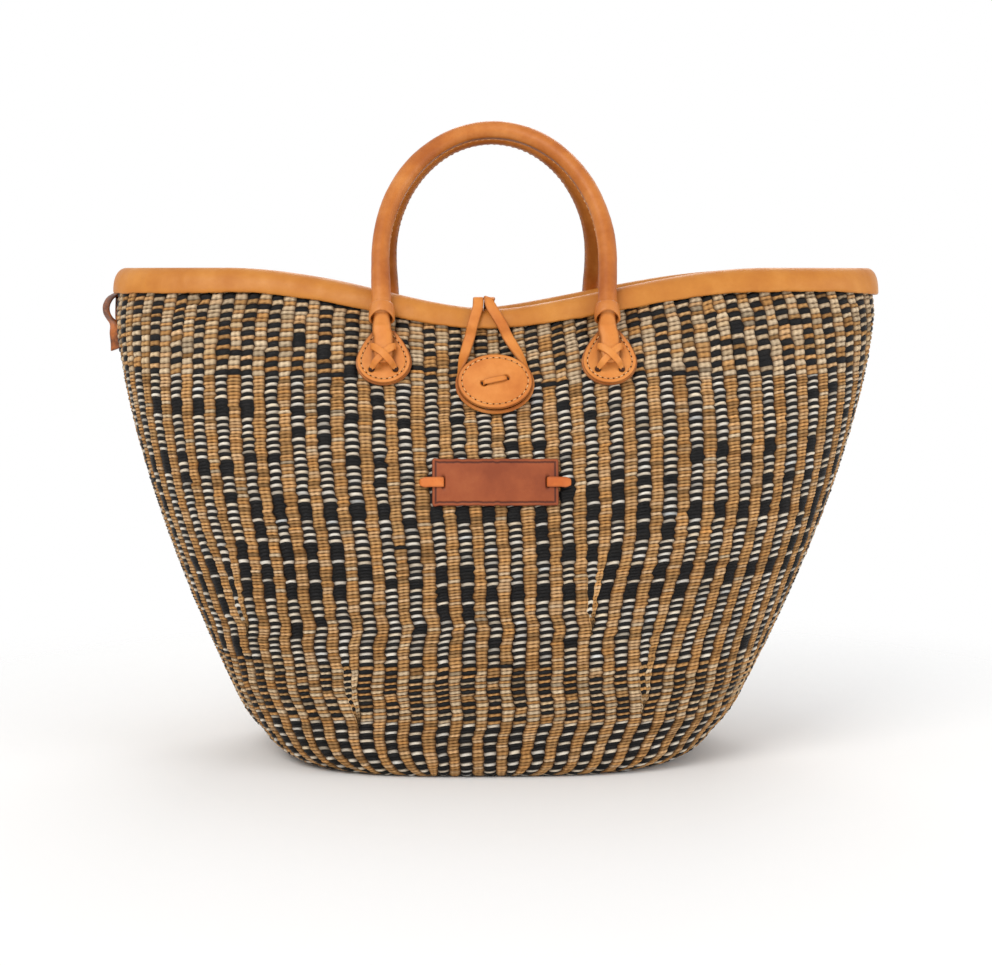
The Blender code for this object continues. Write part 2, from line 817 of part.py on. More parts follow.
def button_thong():
    """Thong over the button's face and down through both holes."""
    along = Vector((math.cos(THONG_TURN), math.sin(THONG_TURN)))
    top = button_top() + 2 * GAP + THONG_THICKNESS / 2
    narrow = THONG_WIDTH * 0.72
    stops = []
    places = ((-1.0, GAP, -1, 0), (-1.0, button_top() * 0.8, -1, 0), (-0.72, top, -0.3, 1), (0.0, top * 1.08, 0, 1))
    for share, lift, lean, rise in places:
        spot = along * THONG_HALF_SPAN * share
        stops.append(((spot.x, spot.y, lift), (lean * along.x, lean * along.y, rise), THONG_WIDTH if rise else narrow))
    for (x, y, lift), (nx, ny, nz), width in reversed(stops[:3]):
        stops.append(((-x, -y, lift), (-nx, -ny, nz), width))
    rings = strip(stops, 3, THONG_THICKNESS)
    rings = [[lay(p.x, p.y, p.z, button_height()) for p in ring] for ring in rings]
    return solid("button_thong", rings, tab_look(), origin=button_hinge())


def crest():
    """Fold of the closure strap, just behind the front rim and above it: on its top face, where it hinges."""
    top = rim_height(CREST_X)
    point = front_point(CREST_X, top)
    middle = point - wall_normal(*point) * WALL / 2
    return Vector((CREST_X, middle.y - CREST_BACK, top + CREST_RISE))


def strand_x(side):
    """Middle of the left or right strand where they cross the mouth."""
    return CREST_X + side * (STRAP_WIDTH + STRAND_GAP) / 2


def loop_stop(x, up, lift, across, along, off):
    """Stop of the loop on the wall, with its face given across, along and off the wall."""
    place = lay(x, up, lift, button_height())
    normal = wall_normal(*lay(x, up, 0, button_height()))
    side = Vector((1, 0, 0))
    face = across * side + along * normal.cross(side) + off * normal
    return place, face, STRAP_WIDTH


def loop_touch(side, half_x, half_y, rim_up):
    """Turn of the oval at which the leg from the crest touches it on the left or right."""
    across, along = strand_x(side) / half_x, (rim_up + LOOP_DROP) / half_y
    return math.atan2(along, across) - side * math.acos(1 / math.hypot(across, along))


def loop_leg(side, turn, half_x, half_y, rim_up):
    """Stops of one leg of the loop, from the crest over the binding to the button."""
    peak = crest()
    x = strand_x(side)
    middle = peak.z - STRAP_THICKNESS / 2
    flat = GAP + STRAP_THICKNESS / 2
    over = flat + GAP + BINDING_LEATHER + BINDING_PLUMP
    stops = [
        (Vector((x, peak.y - GAP, middle)), (0, 0, 1), STRAP_WIDTH),
        (Vector((x, peak.y - CREST_RUN / 2, middle)), (0, 0, 1), STRAP_WIDTH),
        (Vector((x, peak.y - CREST_RUN, middle - STRAP_THICKNESS / 3)), (0, -0.4, 1), STRAP_WIDTH),
    ]
    touch = Vector((half_x * math.cos(turn), half_y * math.sin(turn) - LOOP_DROP))
    head = Vector((x, rim_up))
    low_edge = rim_up - BINDING_HEIGHT
    run = head.y - touch.y
    places = [
        (rim_up - BINDING_SHOULDER / 2, over, 0.0),
        (rim_up - BINDING_HEIGHT / 2, over, 0.0),
        (low_edge, over, 0.0),
        (low_edge - BINDING_HEIGHT / 3, flat + GAP, 0.0),
        (touch.y + run * 0.38, flat, 0.15),
        (touch.y + run * 0.2, flat, 0.6),
    ]
    for up, lift, twist in places:
        spot = head.lerp(touch, (head.y - up) / run)
        quarter = twist * math.pi / 2
        lean = math.sin(quarter) * STRAP_WIDTH / 2 + math.cos(quarter) * STRAP_THICKNESS / 2
        lift += lean - STRAP_THICKNESS / 2 + (GAP if twist else 0)
        stops.append(loop_stop(spot.x, spot.y, lift, side * math.sin(quarter), 0, math.cos(quarter)))
    return stops


def closure_loop():
    """Loop that hangs from the crest and lies on edge round the button."""
    half_x = BUTTON_HALF_WIDTH + LOOP_PLAY + STRAP_THICKNESS / 2
    half_y = BUTTON_HALF_HEIGHT + LOOP_PLAY + STRAP_THICKNESS / 2
    slant = wall_normal(*front_point(CREST_X, rim_height(CREST_X))).z
    rim_up = BUTTON_DROP / math.sqrt(1 - slant * slant)
    left = loop_touch(-1, half_x, half_y, rim_up)
    right = loop_touch(1, half_x, half_y, rim_up)
    stops = loop_leg(-1, left, half_x, half_y, rim_up)
    for k in range(LOOP_STEPS + 1):
        turn = left + (right + 2 * math.pi - left) * k / LOOP_STEPS
        x, up = half_x * math.cos(turn), half_y * math.sin(turn) - LOOP_DROP
        across, along = math.cos(turn) / half_x, math.sin(turn) / half_y
        reach = math.hypot(across, along)
        stops.append(loop_stop(x, up, GAP + STRAP_WIDTH / 2, across / reach, along / reach, 0))
    stops += loop_leg(1, right, half_x, half_y, rim_up)[::-1]
    return solid("closure_loop", strip(stops, 2, STRAP_THICKNESS), tab_look(), origin=crest())


def bent_strip(path, across, width, thickness):
    """Rings of a strip that bends along a path and stays square to the across direction."""
    rings = []
    for k, centre in enumerate(path):
        before = path[max(k - 1, 0)]
        after = path[min(k + 1, len(path) - 1)]
        wide = across * width / 2
        deep = across.cross((after - before).normalized()) * thickness / 2
        rings.append([centre + wide + deep, centre - wide + deep, centre - wide - deep, centre + wide - deep])
    return rings


def closure_strap(name, side):
    """One strand of the strap: from the crest over the mouth, down to its seam on the inner rear wall."""
    peak = crest()
    x = strand_x(side)
    top = rim_height(x)
    inside = -WALL - GAP - STRAP_THICKNESS / 2
    high = lay(x, -BINDING_HEIGHT - STRAP_SEAM_DROP, inside - 2 * GAP, top)
    middle = lay(x, -BINDING_HEIGHT - STRAP_SEAM_DROP - STRAP_SEAM / 2, inside - GAP / 2, top)
    low = lay(x, -BINDING_HEIGHT - STRAP_SEAM_DROP - STRAP_SEAM, inside, top)
    high, middle, low = [Vector((p.x, -p.y, p.z)) for p in (high, middle, low)]
    start = Vector((x, peak.y + GAP, peak.z - STRAP_THICKNESS / 2))
    bend = start + Vector((0, CREST_RUN, 0))
    pull = bend + Vector((0, STRAP_SWING, 0))
    land = high + Vector((0, -STRAP_REAR_SWING, STRAP_REAR_SWING / 2))
    path = [start]
    for k in range(STRAP_STEPS + 1):
        t = k / STRAP_STEPS
        left = 1 - t
        path.append(left**3 * bend + 3 * left * left * t * pull + 3 * left * t * t * land + t**3 * high)
    path += [middle, low]
    rings = bent_strip(path, Vector((1, 0, 0)), STRAP_WIDTH, STRAP_THICKNESS)
    return solid(f"closure_strap_{name}", rings, tab_look())


# Label and its ties


def label_height():
    return rim_height(0) - LABEL_DROP


def label_patch():
    """Rectangle of leather that follows the wall, with a slot near each end."""
    columns = 10
    outline = []
    for k in range(columns + 1):
        outline.append((LABEL_HALF_WIDTH * (2 * k / columns - 1), -LABEL_HALF_HEIGHT))
    outline.append((LABEL_HALF_WIDTH, 0))
    for k in range(columns + 1):
        outline.append((-LABEL_HALF_WIDTH * (2 * k / columns - 1), LABEL_HALF_HEIGHT))
    outline.append((-LABEL_HALF_WIDTH, 0))
    rings = pad(outline, 0, label_height(), GAP, LABEL_LEATHER, LABEL_EDGE)
    made = solid("label_patch", rings, label_look())
    half_slot = TIE_SLOT_WIDTH / 2
    half_tall = TIE_WIDTH / 2 + GAP
    corners = [(-half_slot, -half_tall), (half_slot, -half_tall), (half_slot, half_tall), (-half_slot, half_tall)]
    slots = []
    for side in (-1, 1):
        x = side * TIE_INNER_X
        rings = []
        for lift in (-OVERRUN, GAP + LABEL_LEATHER + OVERRUN):
            rings.append([lay(x + px, py, lift, label_height()) for px, py in corners])
        slots.append(rings)
    cut(made, slots)
    return made


def label_tie(name, side):
    """Tie from the weave beside the patch, over its edge and down through the slot."""
    top = GAP + LABEL_LEATHER + GAP + TIE_THICKNESS / 2
    low = GAP + TIE_THICKNESS / 2
    inner, outer = side * TIE_INNER_X, side * TIE_OUTER_X
    edge = side * (LABEL_HALF_WIDTH + GAP + TIE_THICKNESS)
    rest = (outer + edge) / 2
    stops = [
        ((outer, 0, GAP), (side, 0, 0.05), TIE_WIDTH * 0.9),
        ((outer - side * TIE_THICKNESS * 0.4, 0, low + TIE_THICKNESS * 1.3), (0.7 * side, 0, 0.7), TIE_WIDTH),
        ((rest, 0, low + TIE_THICKNESS * 1.9), (0, 0, 1), TIE_WIDTH),
        ((edge, 0, top + TIE_THICKNESS * 0.3), (0, 0, 1), TIE_WIDTH),
        ((inner + side * TIE_THICKNESS * 2, 0, top), (0, 0, 1), TIE_WIDTH),
        ((inner + side * TIE_THICKNESS * 0.2, 0, top - TIE_THICKNESS * 0.6), (-0.7 * side, 0, 0.7), TIE_WIDTH),
        ((inner, 0, GAP), (-side, 0, 0.05), TIE_WIDTH * 0.9),
    ]
    rings = strip(stops, 2, TIE_THICKNESS)
    rings = [[lay(p.x, p.y, p.z, label_height()) for p in ring] for ring in rings]
    return solid(f"label_tie_{name}", rings, tie_look())


# Side loop


def side_loop():
    """Dark strip sewn under the binding at the left end, folded into an eye with its tail hanging down."""
    half = SIDE_LOOP_THICKNESS / 2
    layer = SIDE_LOOP_THICKNESS + GAP
    top = RIM_HEIGHT - BINDING_HEIGHT - GAP - half
    bottom = top - SIDE_EYE_HEIGHT

    def against(z, out):
        return Vector((-half_width(z) - GAP - half - out, 0, z))

    stops = [against(bottom - SIDE_TAIL * SIDE_ROOT_SHARE, 0)]
    stops.append(against(bottom, 0))
    stops.append(against((bottom + top) / 2, 0))
    for reach, height in SIDE_EYE_SHARES:
        stops.append(against(bottom + SIDE_EYE_HEIGHT * height, SIDE_EYE_REACH * reach))
    stops.append(against(bottom - SIDE_TAIL * 0.1, layer + GAP))
    stops.append(against(bottom - SIDE_TAIL * 0.5, layer + GAP / 2))
    stops.append(against(bottom - SIDE_TAIL * 0.8, layer + GAP))
    stops.append(against(bottom - SIDE_TAIL, layer + SIDE_TAIL_CURL))
    rings = bent_strip(spline(stops, 3), Vector((0, 1, 0)), SIDE_LOOP_WIDTH, SIDE_LOOP_THICKNESS)
    return solid("side_loop", rings, dark_look())


# Assembly


def handles():
    for end in ("front", "rear"):
        handle_cover(end)
        handle_core(end)
        for name, side in (("left", -1), ("right", 1)):
            collar(end, name, side)


def feet():
    for end in ("front", "rear"):
        for name, side in (("left", -1), ("right", 1)):
            tab_layer(end, name, side, "backing", GAP, TAB_BACKING, 0)
            tab_layer(end, name, side, "face", tab_lift(), TAB_LEATHER, TAB_STEP)
            tongue(end, name, side)
            lace(end, name, side)
            knot_name = f"{end}_{name}_lace_knot"
            x = side * FOOT_X
            knot(knot_name, x, -LACE_HOLE_DROP, foot_height(), KNOT_RADIUS, tab_look(), rear=end == "rear")


def closure():
    button_layer("button_back", GAP, BUTTON_BACK, BUTTON_EDGE)
    button_layer("button_face", GAP + BUTTON_BACK + GAP, BUTTON_FACE, 0)
    button_thong()
    knot("button_knot", 0, 0, button_height(), KNOT_RADIUS * 1.2, tab_look())
    closure_loop()
    closure_strap("left", -1)
    closure_strap("right", 1)


def label():
    label_patch()
    middle = (TIE_INNER_X + TIE_OUTER_X) / 2
    for name, side in (("left", -1), ("right", 1)):
        label_tie(name, side)
        knot(f"label_knot_{name}", side * middle, 0, label_height(), KNOT_RADIUS, tie_look())


def main():
    for old in list(bpy.context.scene.objects):
        bpy.data.objects.remove(old, do_unlink=True)
    woven_body()
    rim_binding()
    handles()
    feet()
    closure()
    label()
    side_loop()


main()
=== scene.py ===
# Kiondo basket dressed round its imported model: twined sisal walls, rolled leather handles, laces and button.
# Metres, +Z up, the front faces -Y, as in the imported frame.
import math
import bpy
import numpy as np
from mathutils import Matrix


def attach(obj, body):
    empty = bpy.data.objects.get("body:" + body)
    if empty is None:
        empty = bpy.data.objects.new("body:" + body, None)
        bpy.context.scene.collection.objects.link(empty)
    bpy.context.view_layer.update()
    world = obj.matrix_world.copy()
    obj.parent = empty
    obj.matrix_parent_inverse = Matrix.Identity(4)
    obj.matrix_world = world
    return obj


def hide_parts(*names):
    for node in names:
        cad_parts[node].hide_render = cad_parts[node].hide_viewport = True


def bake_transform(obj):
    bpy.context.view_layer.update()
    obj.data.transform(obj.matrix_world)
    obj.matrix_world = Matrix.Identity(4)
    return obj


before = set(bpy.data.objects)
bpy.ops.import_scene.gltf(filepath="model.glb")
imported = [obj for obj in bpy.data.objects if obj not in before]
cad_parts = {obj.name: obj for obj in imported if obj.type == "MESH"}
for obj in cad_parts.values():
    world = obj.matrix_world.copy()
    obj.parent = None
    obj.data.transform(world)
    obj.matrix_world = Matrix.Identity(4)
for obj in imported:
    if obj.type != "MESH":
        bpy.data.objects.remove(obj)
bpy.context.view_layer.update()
gap = 0.0003            # what touching pieces keep between them
slopeStep = 0.0003      # height over which the walls' slopes are taken
shortWay = 0.0001       # way off a surface over which a direction is taken

# The sizes that the basket's shape is worked out from
basket = {
    "baseHalfWidth": 0.1452,
    "widestHalfWidth": 0.2470,
    "widestHeight": 0.288,
    "baseHalfDepth": 0.098,
    "mouthHalfDepth": 0.075,
    "belly": 0.030,
    "rimHeight": 0.3173,
    "rimDip": 0.026,
    "dipReach": 0.175,
    "wall": 0.005,
    "baseEdge": 0.020,      # height of the rounded edge round the base
    "frontEdge": 0.012,     # its width in front and behind
    "endEdge": 0.040,       # its radius at the ends
    "flarePower": 1.46,
    "dipPower": 1.5,
    "bellyPower": 1.15,
    "cornerPower": 3.0,
    "dipShiftFront": 0.005, # how far to the left the rim's lowest place lies
    "dipShiftBack": 0.011,
    "dipShiftReach": 0.11,
    "sway": 0.0205,         # the walls lean this much to the right for each length up
    "swayFrom": 0.165,
}


def smooth(t):
    # 3t^2 - 2t^3, held at 0 and 1 outside
    t = np.clip(t, 0.0, 1.0)
    return t * t * (3 - 2 * t)


def unit(v):
    # each vector over its own length
    return v / np.maximum(np.linalg.norm(v, axis=-1, keepdims=True), 1e-12)


def halfWidth(z):
    # base half width plus the flare times one minus |1 - height share| to the flare power
    rise = np.maximum(z, 0.0) / basket["widestHeight"]
    flare = basket["widestHalfWidth"] - basket["baseHalfWidth"]
    return basket["baseHalfWidth"] + flare * (1 - np.abs(1 - rise) ** basket["flarePower"])


def halfDepth(z):
    # a straight line from base to mouth plus a half sine wave for the belly
    rise = np.maximum(z, 0.0) / (basket["rimHeight"] - basket["rimDip"])
    straight = basket["baseHalfDepth"] + (basket["mouthHalfDepth"] - basket["baseHalfDepth"]) * rise
    return straight + basket["belly"] * np.sin(np.pi * rise ** basket["bellyPower"])


def rimTop(x):
    # rim height less a dip that fades with a quarter sine wave to the dip power
    reach = np.minimum(np.abs(x) / basket["dipReach"], 1.0)
    return basket["rimHeight"] - basket["rimDip"] * (1 - np.sin(np.pi / 2 * reach) ** basket["dipPower"])


def rimLine(x, back):
    # the rim's height with its lowest place a little to the left, more so at the back
    shift = np.where(back, basket["dipShiftBack"], basket["dipShiftFront"])
    return rimTop(x + shift * np.exp(-((x / basket["dipShiftReach"]) ** 2)))


def plan(angle):
    # point of the unit superellipse |x|^p + |y|^p = 1 in this direction
    power = basket["cornerPower"]
    across, along = np.cos(angle), np.sin(angle)
    reach = (np.abs(across) ** power + np.abs(along) ** power) ** (-1 / power)
    return reach * across, reach * along


def wallNormal(x, y, z):
    # gradient of |x/w|^p + |y/d|^p, where w and d change with the height
    power, step = basket["cornerPower"], slopeStep
    width, depth = halfWidth(z), halfDepth(z)
    widthSlope = (halfWidth(z + step) - halfWidth(z - step)) / (2 * step)
    depthSlope = (halfDepth(z + step) - halfDepth(z - step)) / (2 * step)
    across, along = np.abs(x / width), np.abs(y / depth)
    flare = across**power * widthSlope / width + along**power * depthSlope / depth
    sideX = np.copysign(across ** (power - 1) / width, x)
    sideY = np.copysign(along ** (power - 1) / depth, y)
    return unit(np.stack(np.broadcast_arrays(sideX, sideY, -flare), -1))


def onWall(angle, z, lift):
    # plan point scaled to the wall at this height, moved along the normal by lift
    across, along = plan(angle)
    x, y, z = np.broadcast_arrays(halfWidth(z) * across, halfDepth(z) * along, z)
    return np.stack([x, y, z], -1) + np.asarray(lift)[..., None] * wallNormal(x, y, z)


def frontPoint(x, z):
    # the front wall solved for y: minus depth times (1 - |x/w|^p)^(1/p)
    x, z = np.broadcast_arrays(np.asarray(x, float), np.asarray(z, float))
    power = basket["cornerPower"]
    share = np.maximum(1 - np.abs(x / halfWidth(z)) ** power, 0.0)
    return np.stack([x, -halfDepth(z) * share ** (1 / power), z], -1)


def frontNormal(x, z):
    point = frontPoint(x, z)
    return wallNormal(point[..., 0], point[..., 1], point[..., 2])


def climb(x, z, up):
    # height reached from z by a length up the wall, with the slant taken half way
    slant = frontNormal(x, z)[..., 2]
    slant = frontNormal(x, z + up / 2 * np.sqrt(1 - slant * slant))[..., 2]
    return z + up * np.sqrt(1 - slant * slant)


def lay(x, up, lift, z):
    # point of the front wall up along it from height z, moved off it by lift
    x, up, lift = np.broadcast_arrays(np.asarray(x, float), np.asarray(up, float), np.asarray(lift, float))
    high = climb(x, z, up)
    return frontPoint(x, high) + lift[..., None] * frontNormal(x, high)


def swayed(points):
    # moved to the right by the sway times the height above its level place
    points[..., 0] += basket["sway"] * (points[..., 2] - basket["swayFrom"])
    return points


def mirrored(points, rear):
    # the rear pieces are the front ones mirrored in y
    return points * np.array([1.0, -1.0 if rear else 1.0, 1.0])


def spread(values, width):
    # running mean of random values along the last axis, which wraps round, times the root of its width
    kernel = np.ones(width) / width
    padded = np.concatenate([values[..., -width:], values, values[..., :width]], -1)
    rows = padded.reshape(-1, padded.shape[-1])
    soft = np.stack([np.convolve(row, kernel, "same") for row in rows])
    return soft.reshape(padded.shape)[..., width:-width] * math.sqrt(width)


def evenTurn(count, start=0.0):
    # equal steps round a full turn, the first one a share of a step in
    return 2 * np.pi * (np.arange(count) + start) / count


# Meshes from arrays


def meshFrom(name, points, corners, totals, look):
    # vertices, the corner list and the corner count of each face go straight into the mesh
    mesh = bpy.data.meshes.new(name)
    mesh.vertices.add(len(points))
    mesh.vertices.foreach_set("co", np.ascontiguousarray(points, np.float32).ravel())
    mesh.loops.add(len(corners))
    mesh.loops.foreach_set("vertex_index", np.ascontiguousarray(corners, np.int32))
    mesh.polygons.add(len(totals))
    starts = np.concatenate([[0], np.cumsum(totals)[:-1]]).astype(np.int32)
    mesh.polygons.foreach_set("loop_start", starts)
    mesh.update(calc_edges=True)
    mesh.polygons.foreach_set("use_smooth", np.ones(len(totals), bool))
    mesh.materials.append(look)
    mesh.validate()
    made = bpy.data.objects.new(name, mesh)
    bpy.context.scene.collection.objects.link(made)
    return made


def gridFaces(rows, cols, roundAcross=True, roundAlong=False):
    # corner numbers of the quads between neighbouring rows and columns
    ids = np.arange(rows * cols).reshape(rows, cols)
    if roundAcross:
        ids = np.concatenate([ids, ids[:, :1]], 1)
    if roundAlong:
        ids = np.concatenate([ids, ids[:1]], 0)
    return np.stack([ids[:-1, :-1], ids[:-1, 1:], ids[1:, 1:], ids[1:, :-1]], -1).reshape(-1, 4)


def skins(name, shapes, look, roundAlong=False):
    # closed surfaces on equal grids (count, rows, cols, 3) in one mesh, turned so that their faces point out:
    # each row is a ring, and fans close the first and the last where the rows don't run round as well
    count, rows, cols = shapes.shape[:3]
    quads = gridFaces(rows, cols, True, roundAlong)
    verts, fans = shapes.reshape(count, -1, 3), np.zeros((0, 3), int)
    if not roundAlong:
        ring = np.arange(cols)
        ahead = np.roll(ring, -1)
        middle, far = rows * cols, (rows - 1) * cols
        first = np.stack([np.full(cols, middle), ahead, ring], -1)
        last = np.stack([np.full(cols, middle + 1), ring + far, ahead + far], -1)
        fans = np.concatenate([first, last])
        verts = np.concatenate([verts, shapes[:, :1].mean(2), shapes[:, -1:].mean(2)], 1)
    triangles = np.concatenate([quads[:, :3], quads[:, [0, 2, 3]], fans])
    a, b, c = ((verts[0] - verts[0].mean(0))[triangles[:, k]] for k in range(3))
    if np.einsum("ij,ij->", a, np.cross(b, c)) < 0:
        quads, fans = quads[:, ::-1], fans[:, ::-1]
    steps = np.arange(count)[:, None, None] * verts.shape[1]
    corners = np.concatenate([(quads + steps).ravel(), (fans + steps).ravel()])
    totals = np.repeat([4, 3], [len(quads) * count, len(fans) * count])
    return meshFrom(name, verts.reshape(-1, 3), corners, totals, look)


def skin(name, points, look, roundAlong=False):
    return skins(name, points[None], look, roundAlong)


def markBurnAndShade(piece, burnAndShade, closing=0.0):
    # how much burnt edges and painted shade darken the leather at each point of its grid and at the two that
    # close it, read by its material
    layer = piece.data.attributes.new("burnAndShade", "FLOAT", "POINT")
    layer.data.foreach_set("value", np.append(burnAndShade, [closing, closing]).astype(np.float32))


def edgesDarkened(piece, share, amount):
    # cut leather edges are darker: share is how far across the band each point of its section lies
    burnAndShade = amount * smooth((np.abs(share) - 0.7) / 0.3)
    rows = (len(piece.data.vertices) - 2) // len(share)
    markBurnAndShade(piece, np.tile(burnAndShade, rows), amount)


def curveThrough(stops, steps):
    # Catmull-Rom curve through rows of numbers, with this many steps to each span
    stops = np.asarray(stops, float)
    ends = np.concatenate([[2 * stops[0] - stops[1]], stops, [2 * stops[-1] - stops[-2]]])
    t = (np.arange(steps) / steps)[None, :, None]
    a, b, c, d = (ends[k : len(ends) - 3 + k, None] for k in range(4))
    spans = 0.5 * (2 * b + (c - a) * t + (2 * a - 5 * b + 4 * c - d) * t**2 + (3 * b - a - 3 * c + d) * t**3)
    return np.concatenate([spans.reshape(-1, stops.shape[1]), stops[-1:]])


def rounded(outline, times):
    # closed outline with its corners cut a quarter of the way in, this many times
    for _ in range(times):
        after = np.roll(outline, -1, axis=0)
        cuts = [0.75 * outline + 0.25 * after, 0.25 * outline + 0.75 * after]
        outline = np.stack(cuts, 1).reshape(-1, 2)
    return outline


def carried(path, faces, sections):
    # sections (rows, count, 2) carried along a path: first number across it, second along its face normal
    along = np.gradient(path, axis=0)
    side = unit(np.cross(along, faces))
    face = unit(np.cross(side, along))
    return path[:, None] + sections[..., :1] * side[:, None] + sections[..., 1:] * face[:, None]


def bent(wave, power):
    # a wave's absolute value to a power, with its sign kept
    return np.sign(wave) * np.abs(wave) ** power


def band(name, path, faces, width, thickness, look, count=14, burnAndShade=0.0, rear=False):
    # flat band along a path: its section is a superellipse of power 4, and burn darkens its edges
    turn = evenTurn(count, 0.5)
    section = np.stack([bent(np.cos(turn), 0.5), bent(np.sin(turn), 0.5)], -1) / 2
    sizes = np.stack([width, np.full(len(path), thickness)], -1)
    made = skin(name, mirrored(carried(path, faces, section * sizes[:, None]), rear), look)
    if burnAndShade:
        edgesDarkened(made, 2 * section[:, 0], burnAndShade)
    return made


def wallStrip(name, stops, thickness, z, look, steps=6, burnAndShade=0.5, x=0.0, rear=False):
    # band on the front wall through stops of x, up, lift, the face's three directions and width
    line = curveThrough(stops, steps)
    line[:, 0] += x
    place = lay(*line[:, :3].T, z)
    face = unit(lay(*(line[:, :3] + shortWay * line[:, 3:6]).T, z) - place)
    return band(name, place, face, line[:, 6], thickness, look, burnAndShade=burnAndShade, rear=rear)


def dressed(piece, slot, body, *nodes):
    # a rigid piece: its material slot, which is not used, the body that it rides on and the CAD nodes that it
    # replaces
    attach(piece, body)
    if nodes:
        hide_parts(*nodes)


# Finishes

sisalLook = {
    "roughness": 0.78,
    "specular": 0.18,
    "deep": (0.68, 0.61, 0.54, 1.0),        # darker streaks multiply by this
    "shine": (0.55, 0.48, 0.38, 1.0),       # pale fibres on the streaks' tops
    "shineShare": 0.10,
    "hollow": (0.115, 0.08, 0.06, 1.0),     # painted shade: the furrows and other hollows multiply by this
    "bump": 0.9,
    "bumpDepth": 0.0005,
}
leatherLook = {
    "pebbles": 1100.0,
    "clouds": 38.0,
    "creases": 260.0,
    "pores": 900.0,
    "poreShare": 0.22,
    "burntAndShaded": (0.22, 0.15, 0.12, 1.0),       # burnt edges and painted shade multiply by this
    "shineDrift": 0.06,
    "bumpDepth": 0.0003,
}


def linear(r, g, b):
    # sRGB numbers out of 255 as linear light
    share = np.array([r, g, b], float) / 255
    return np.where(share <= 0.04045, share / 12.92, ((share + 0.055) / 1.055) ** 2.4)


def colour(r, g, b):
    return (*linear(r, g, b), 1.0)


def newMaterial(name, roughness, specular):
    made = bpy.data.materials.new(name)
    made.use_nodes = True
    shader = made.node_tree.nodes["Principled BSDF"]
    shader.inputs["Roughness"].default_value = roughness
    shader.inputs["Specular IOR Level"].default_value = specular
    return made, made.node_tree, shader


def mathNode(tree, kind, a, b):
    # one Math node: numbers are typed in, sockets are linked
    node = tree.nodes.new("ShaderNodeMath")
    node.operation = kind
    for k, value in enumerate((a, b)):
        if isinstance(value, (int, float)):
            node.inputs[k].default_value = value
        else:
            tree.links.new(value, node.inputs[k])
    return node.outputs[0]


def weighed(tree, first, second, share):
    # first times its share plus second times the rest
    parts = [mathNode(tree, "MULTIPLY", value, part) for value, part in ((first, share), (second, 1 - share))]
    return mathNode(tree, "ADD", *parts)


def mixNode(tree, share, a, b, blend="MIX"):
    # one colour Mix node
    node = tree.nodes.new("ShaderNodeMix")
    node.data_type = "RGBA"
    node.blend_type = blend
    for name, value in (("Factor", share), ("A", a), ("B", b)):
        target = [s for s in node.inputs if s.name == name and (s.type == "RGBA") == (name != "Factor")][0]
        if isinstance(value, (int, float, tuple)):
            target.default_value = value
        else:
            tree.links.new(value, target)
    return [s for s in node.outputs if s.type == "RGBA"][0]


def noiseNode(tree, vector, scale, detail, roughness=0.55):
    node = tree.nodes.new("ShaderNodeTexNoise")
    node.inputs["Scale"].default_value = scale
    node.inputs["Detail"].default_value = detail
    node.inputs["Roughness"].default_value = roughness
    tree.links.new(vector, node.inputs["Vector"])
    return node.outputs["Fac"]


def rangeNode(tree, value, low, high, outLow=0.0, outHigh=1.0):
    # a value from low to high mapped to the outer two, held at both ends
    node = tree.nodes.new("ShaderNodeMapRange")
    limits = {"From Min": low, "From Max": high, "To Min": outLow, "To Max": outHigh}
    for name, limit in limits.items():
        node.inputs[name].default_value = limit
    tree.links.new(value, node.inputs["Value"])
    return node.outputs["Result"]


def attributeNode(tree, name):
    node = tree.nodes.new("ShaderNodeAttribute")
    node.attribute_name = name
    return node


def newGroup(name, outputs):
    # a node group that takes a vector and gives masks and heights
    tree = bpy.data.node_groups.new(name, "ShaderNodeTree")
    tree.interface.new_socket(name="Vector", in_out="INPUT", socket_type="NodeSocketVector")
    for output in outputs:
        tree.interface.new_socket(name=output, in_out="OUTPUT", socket_type="NodeSocketFloat")
    return tree, tree.nodes.new("NodeGroupInput"), tree.nodes.new("NodeGroupOutput")


def makeFibreGroup():
    # streaks that run level along the strands: a tone mask and a height
    tree, take, give = newGroup("sisalFibre", ("Tone", "Height"))
    streaks = []
    for scales, detail, roughness in (((260, 260, 2600), 3.0, 0.6), ((60, 60, 240), 2.0, 0.55)):
        stretched = tree.nodes.new("ShaderNodeMapping")
        stretched.inputs["Scale"].default_value = scales
        tree.links.new(take.outputs["Vector"], stretched.inputs["Vector"])
        streaks.append(noiseNode(tree, stretched.outputs["Vector"], 1.0, detail, roughness))
    tree.links.new(rangeNode(tree, weighed(tree, *streaks, 0.75), 0.3, 0.7), give.inputs["Tone"])
    tree.links.new(streaks[0], give.inputs["Height"])
    return tree


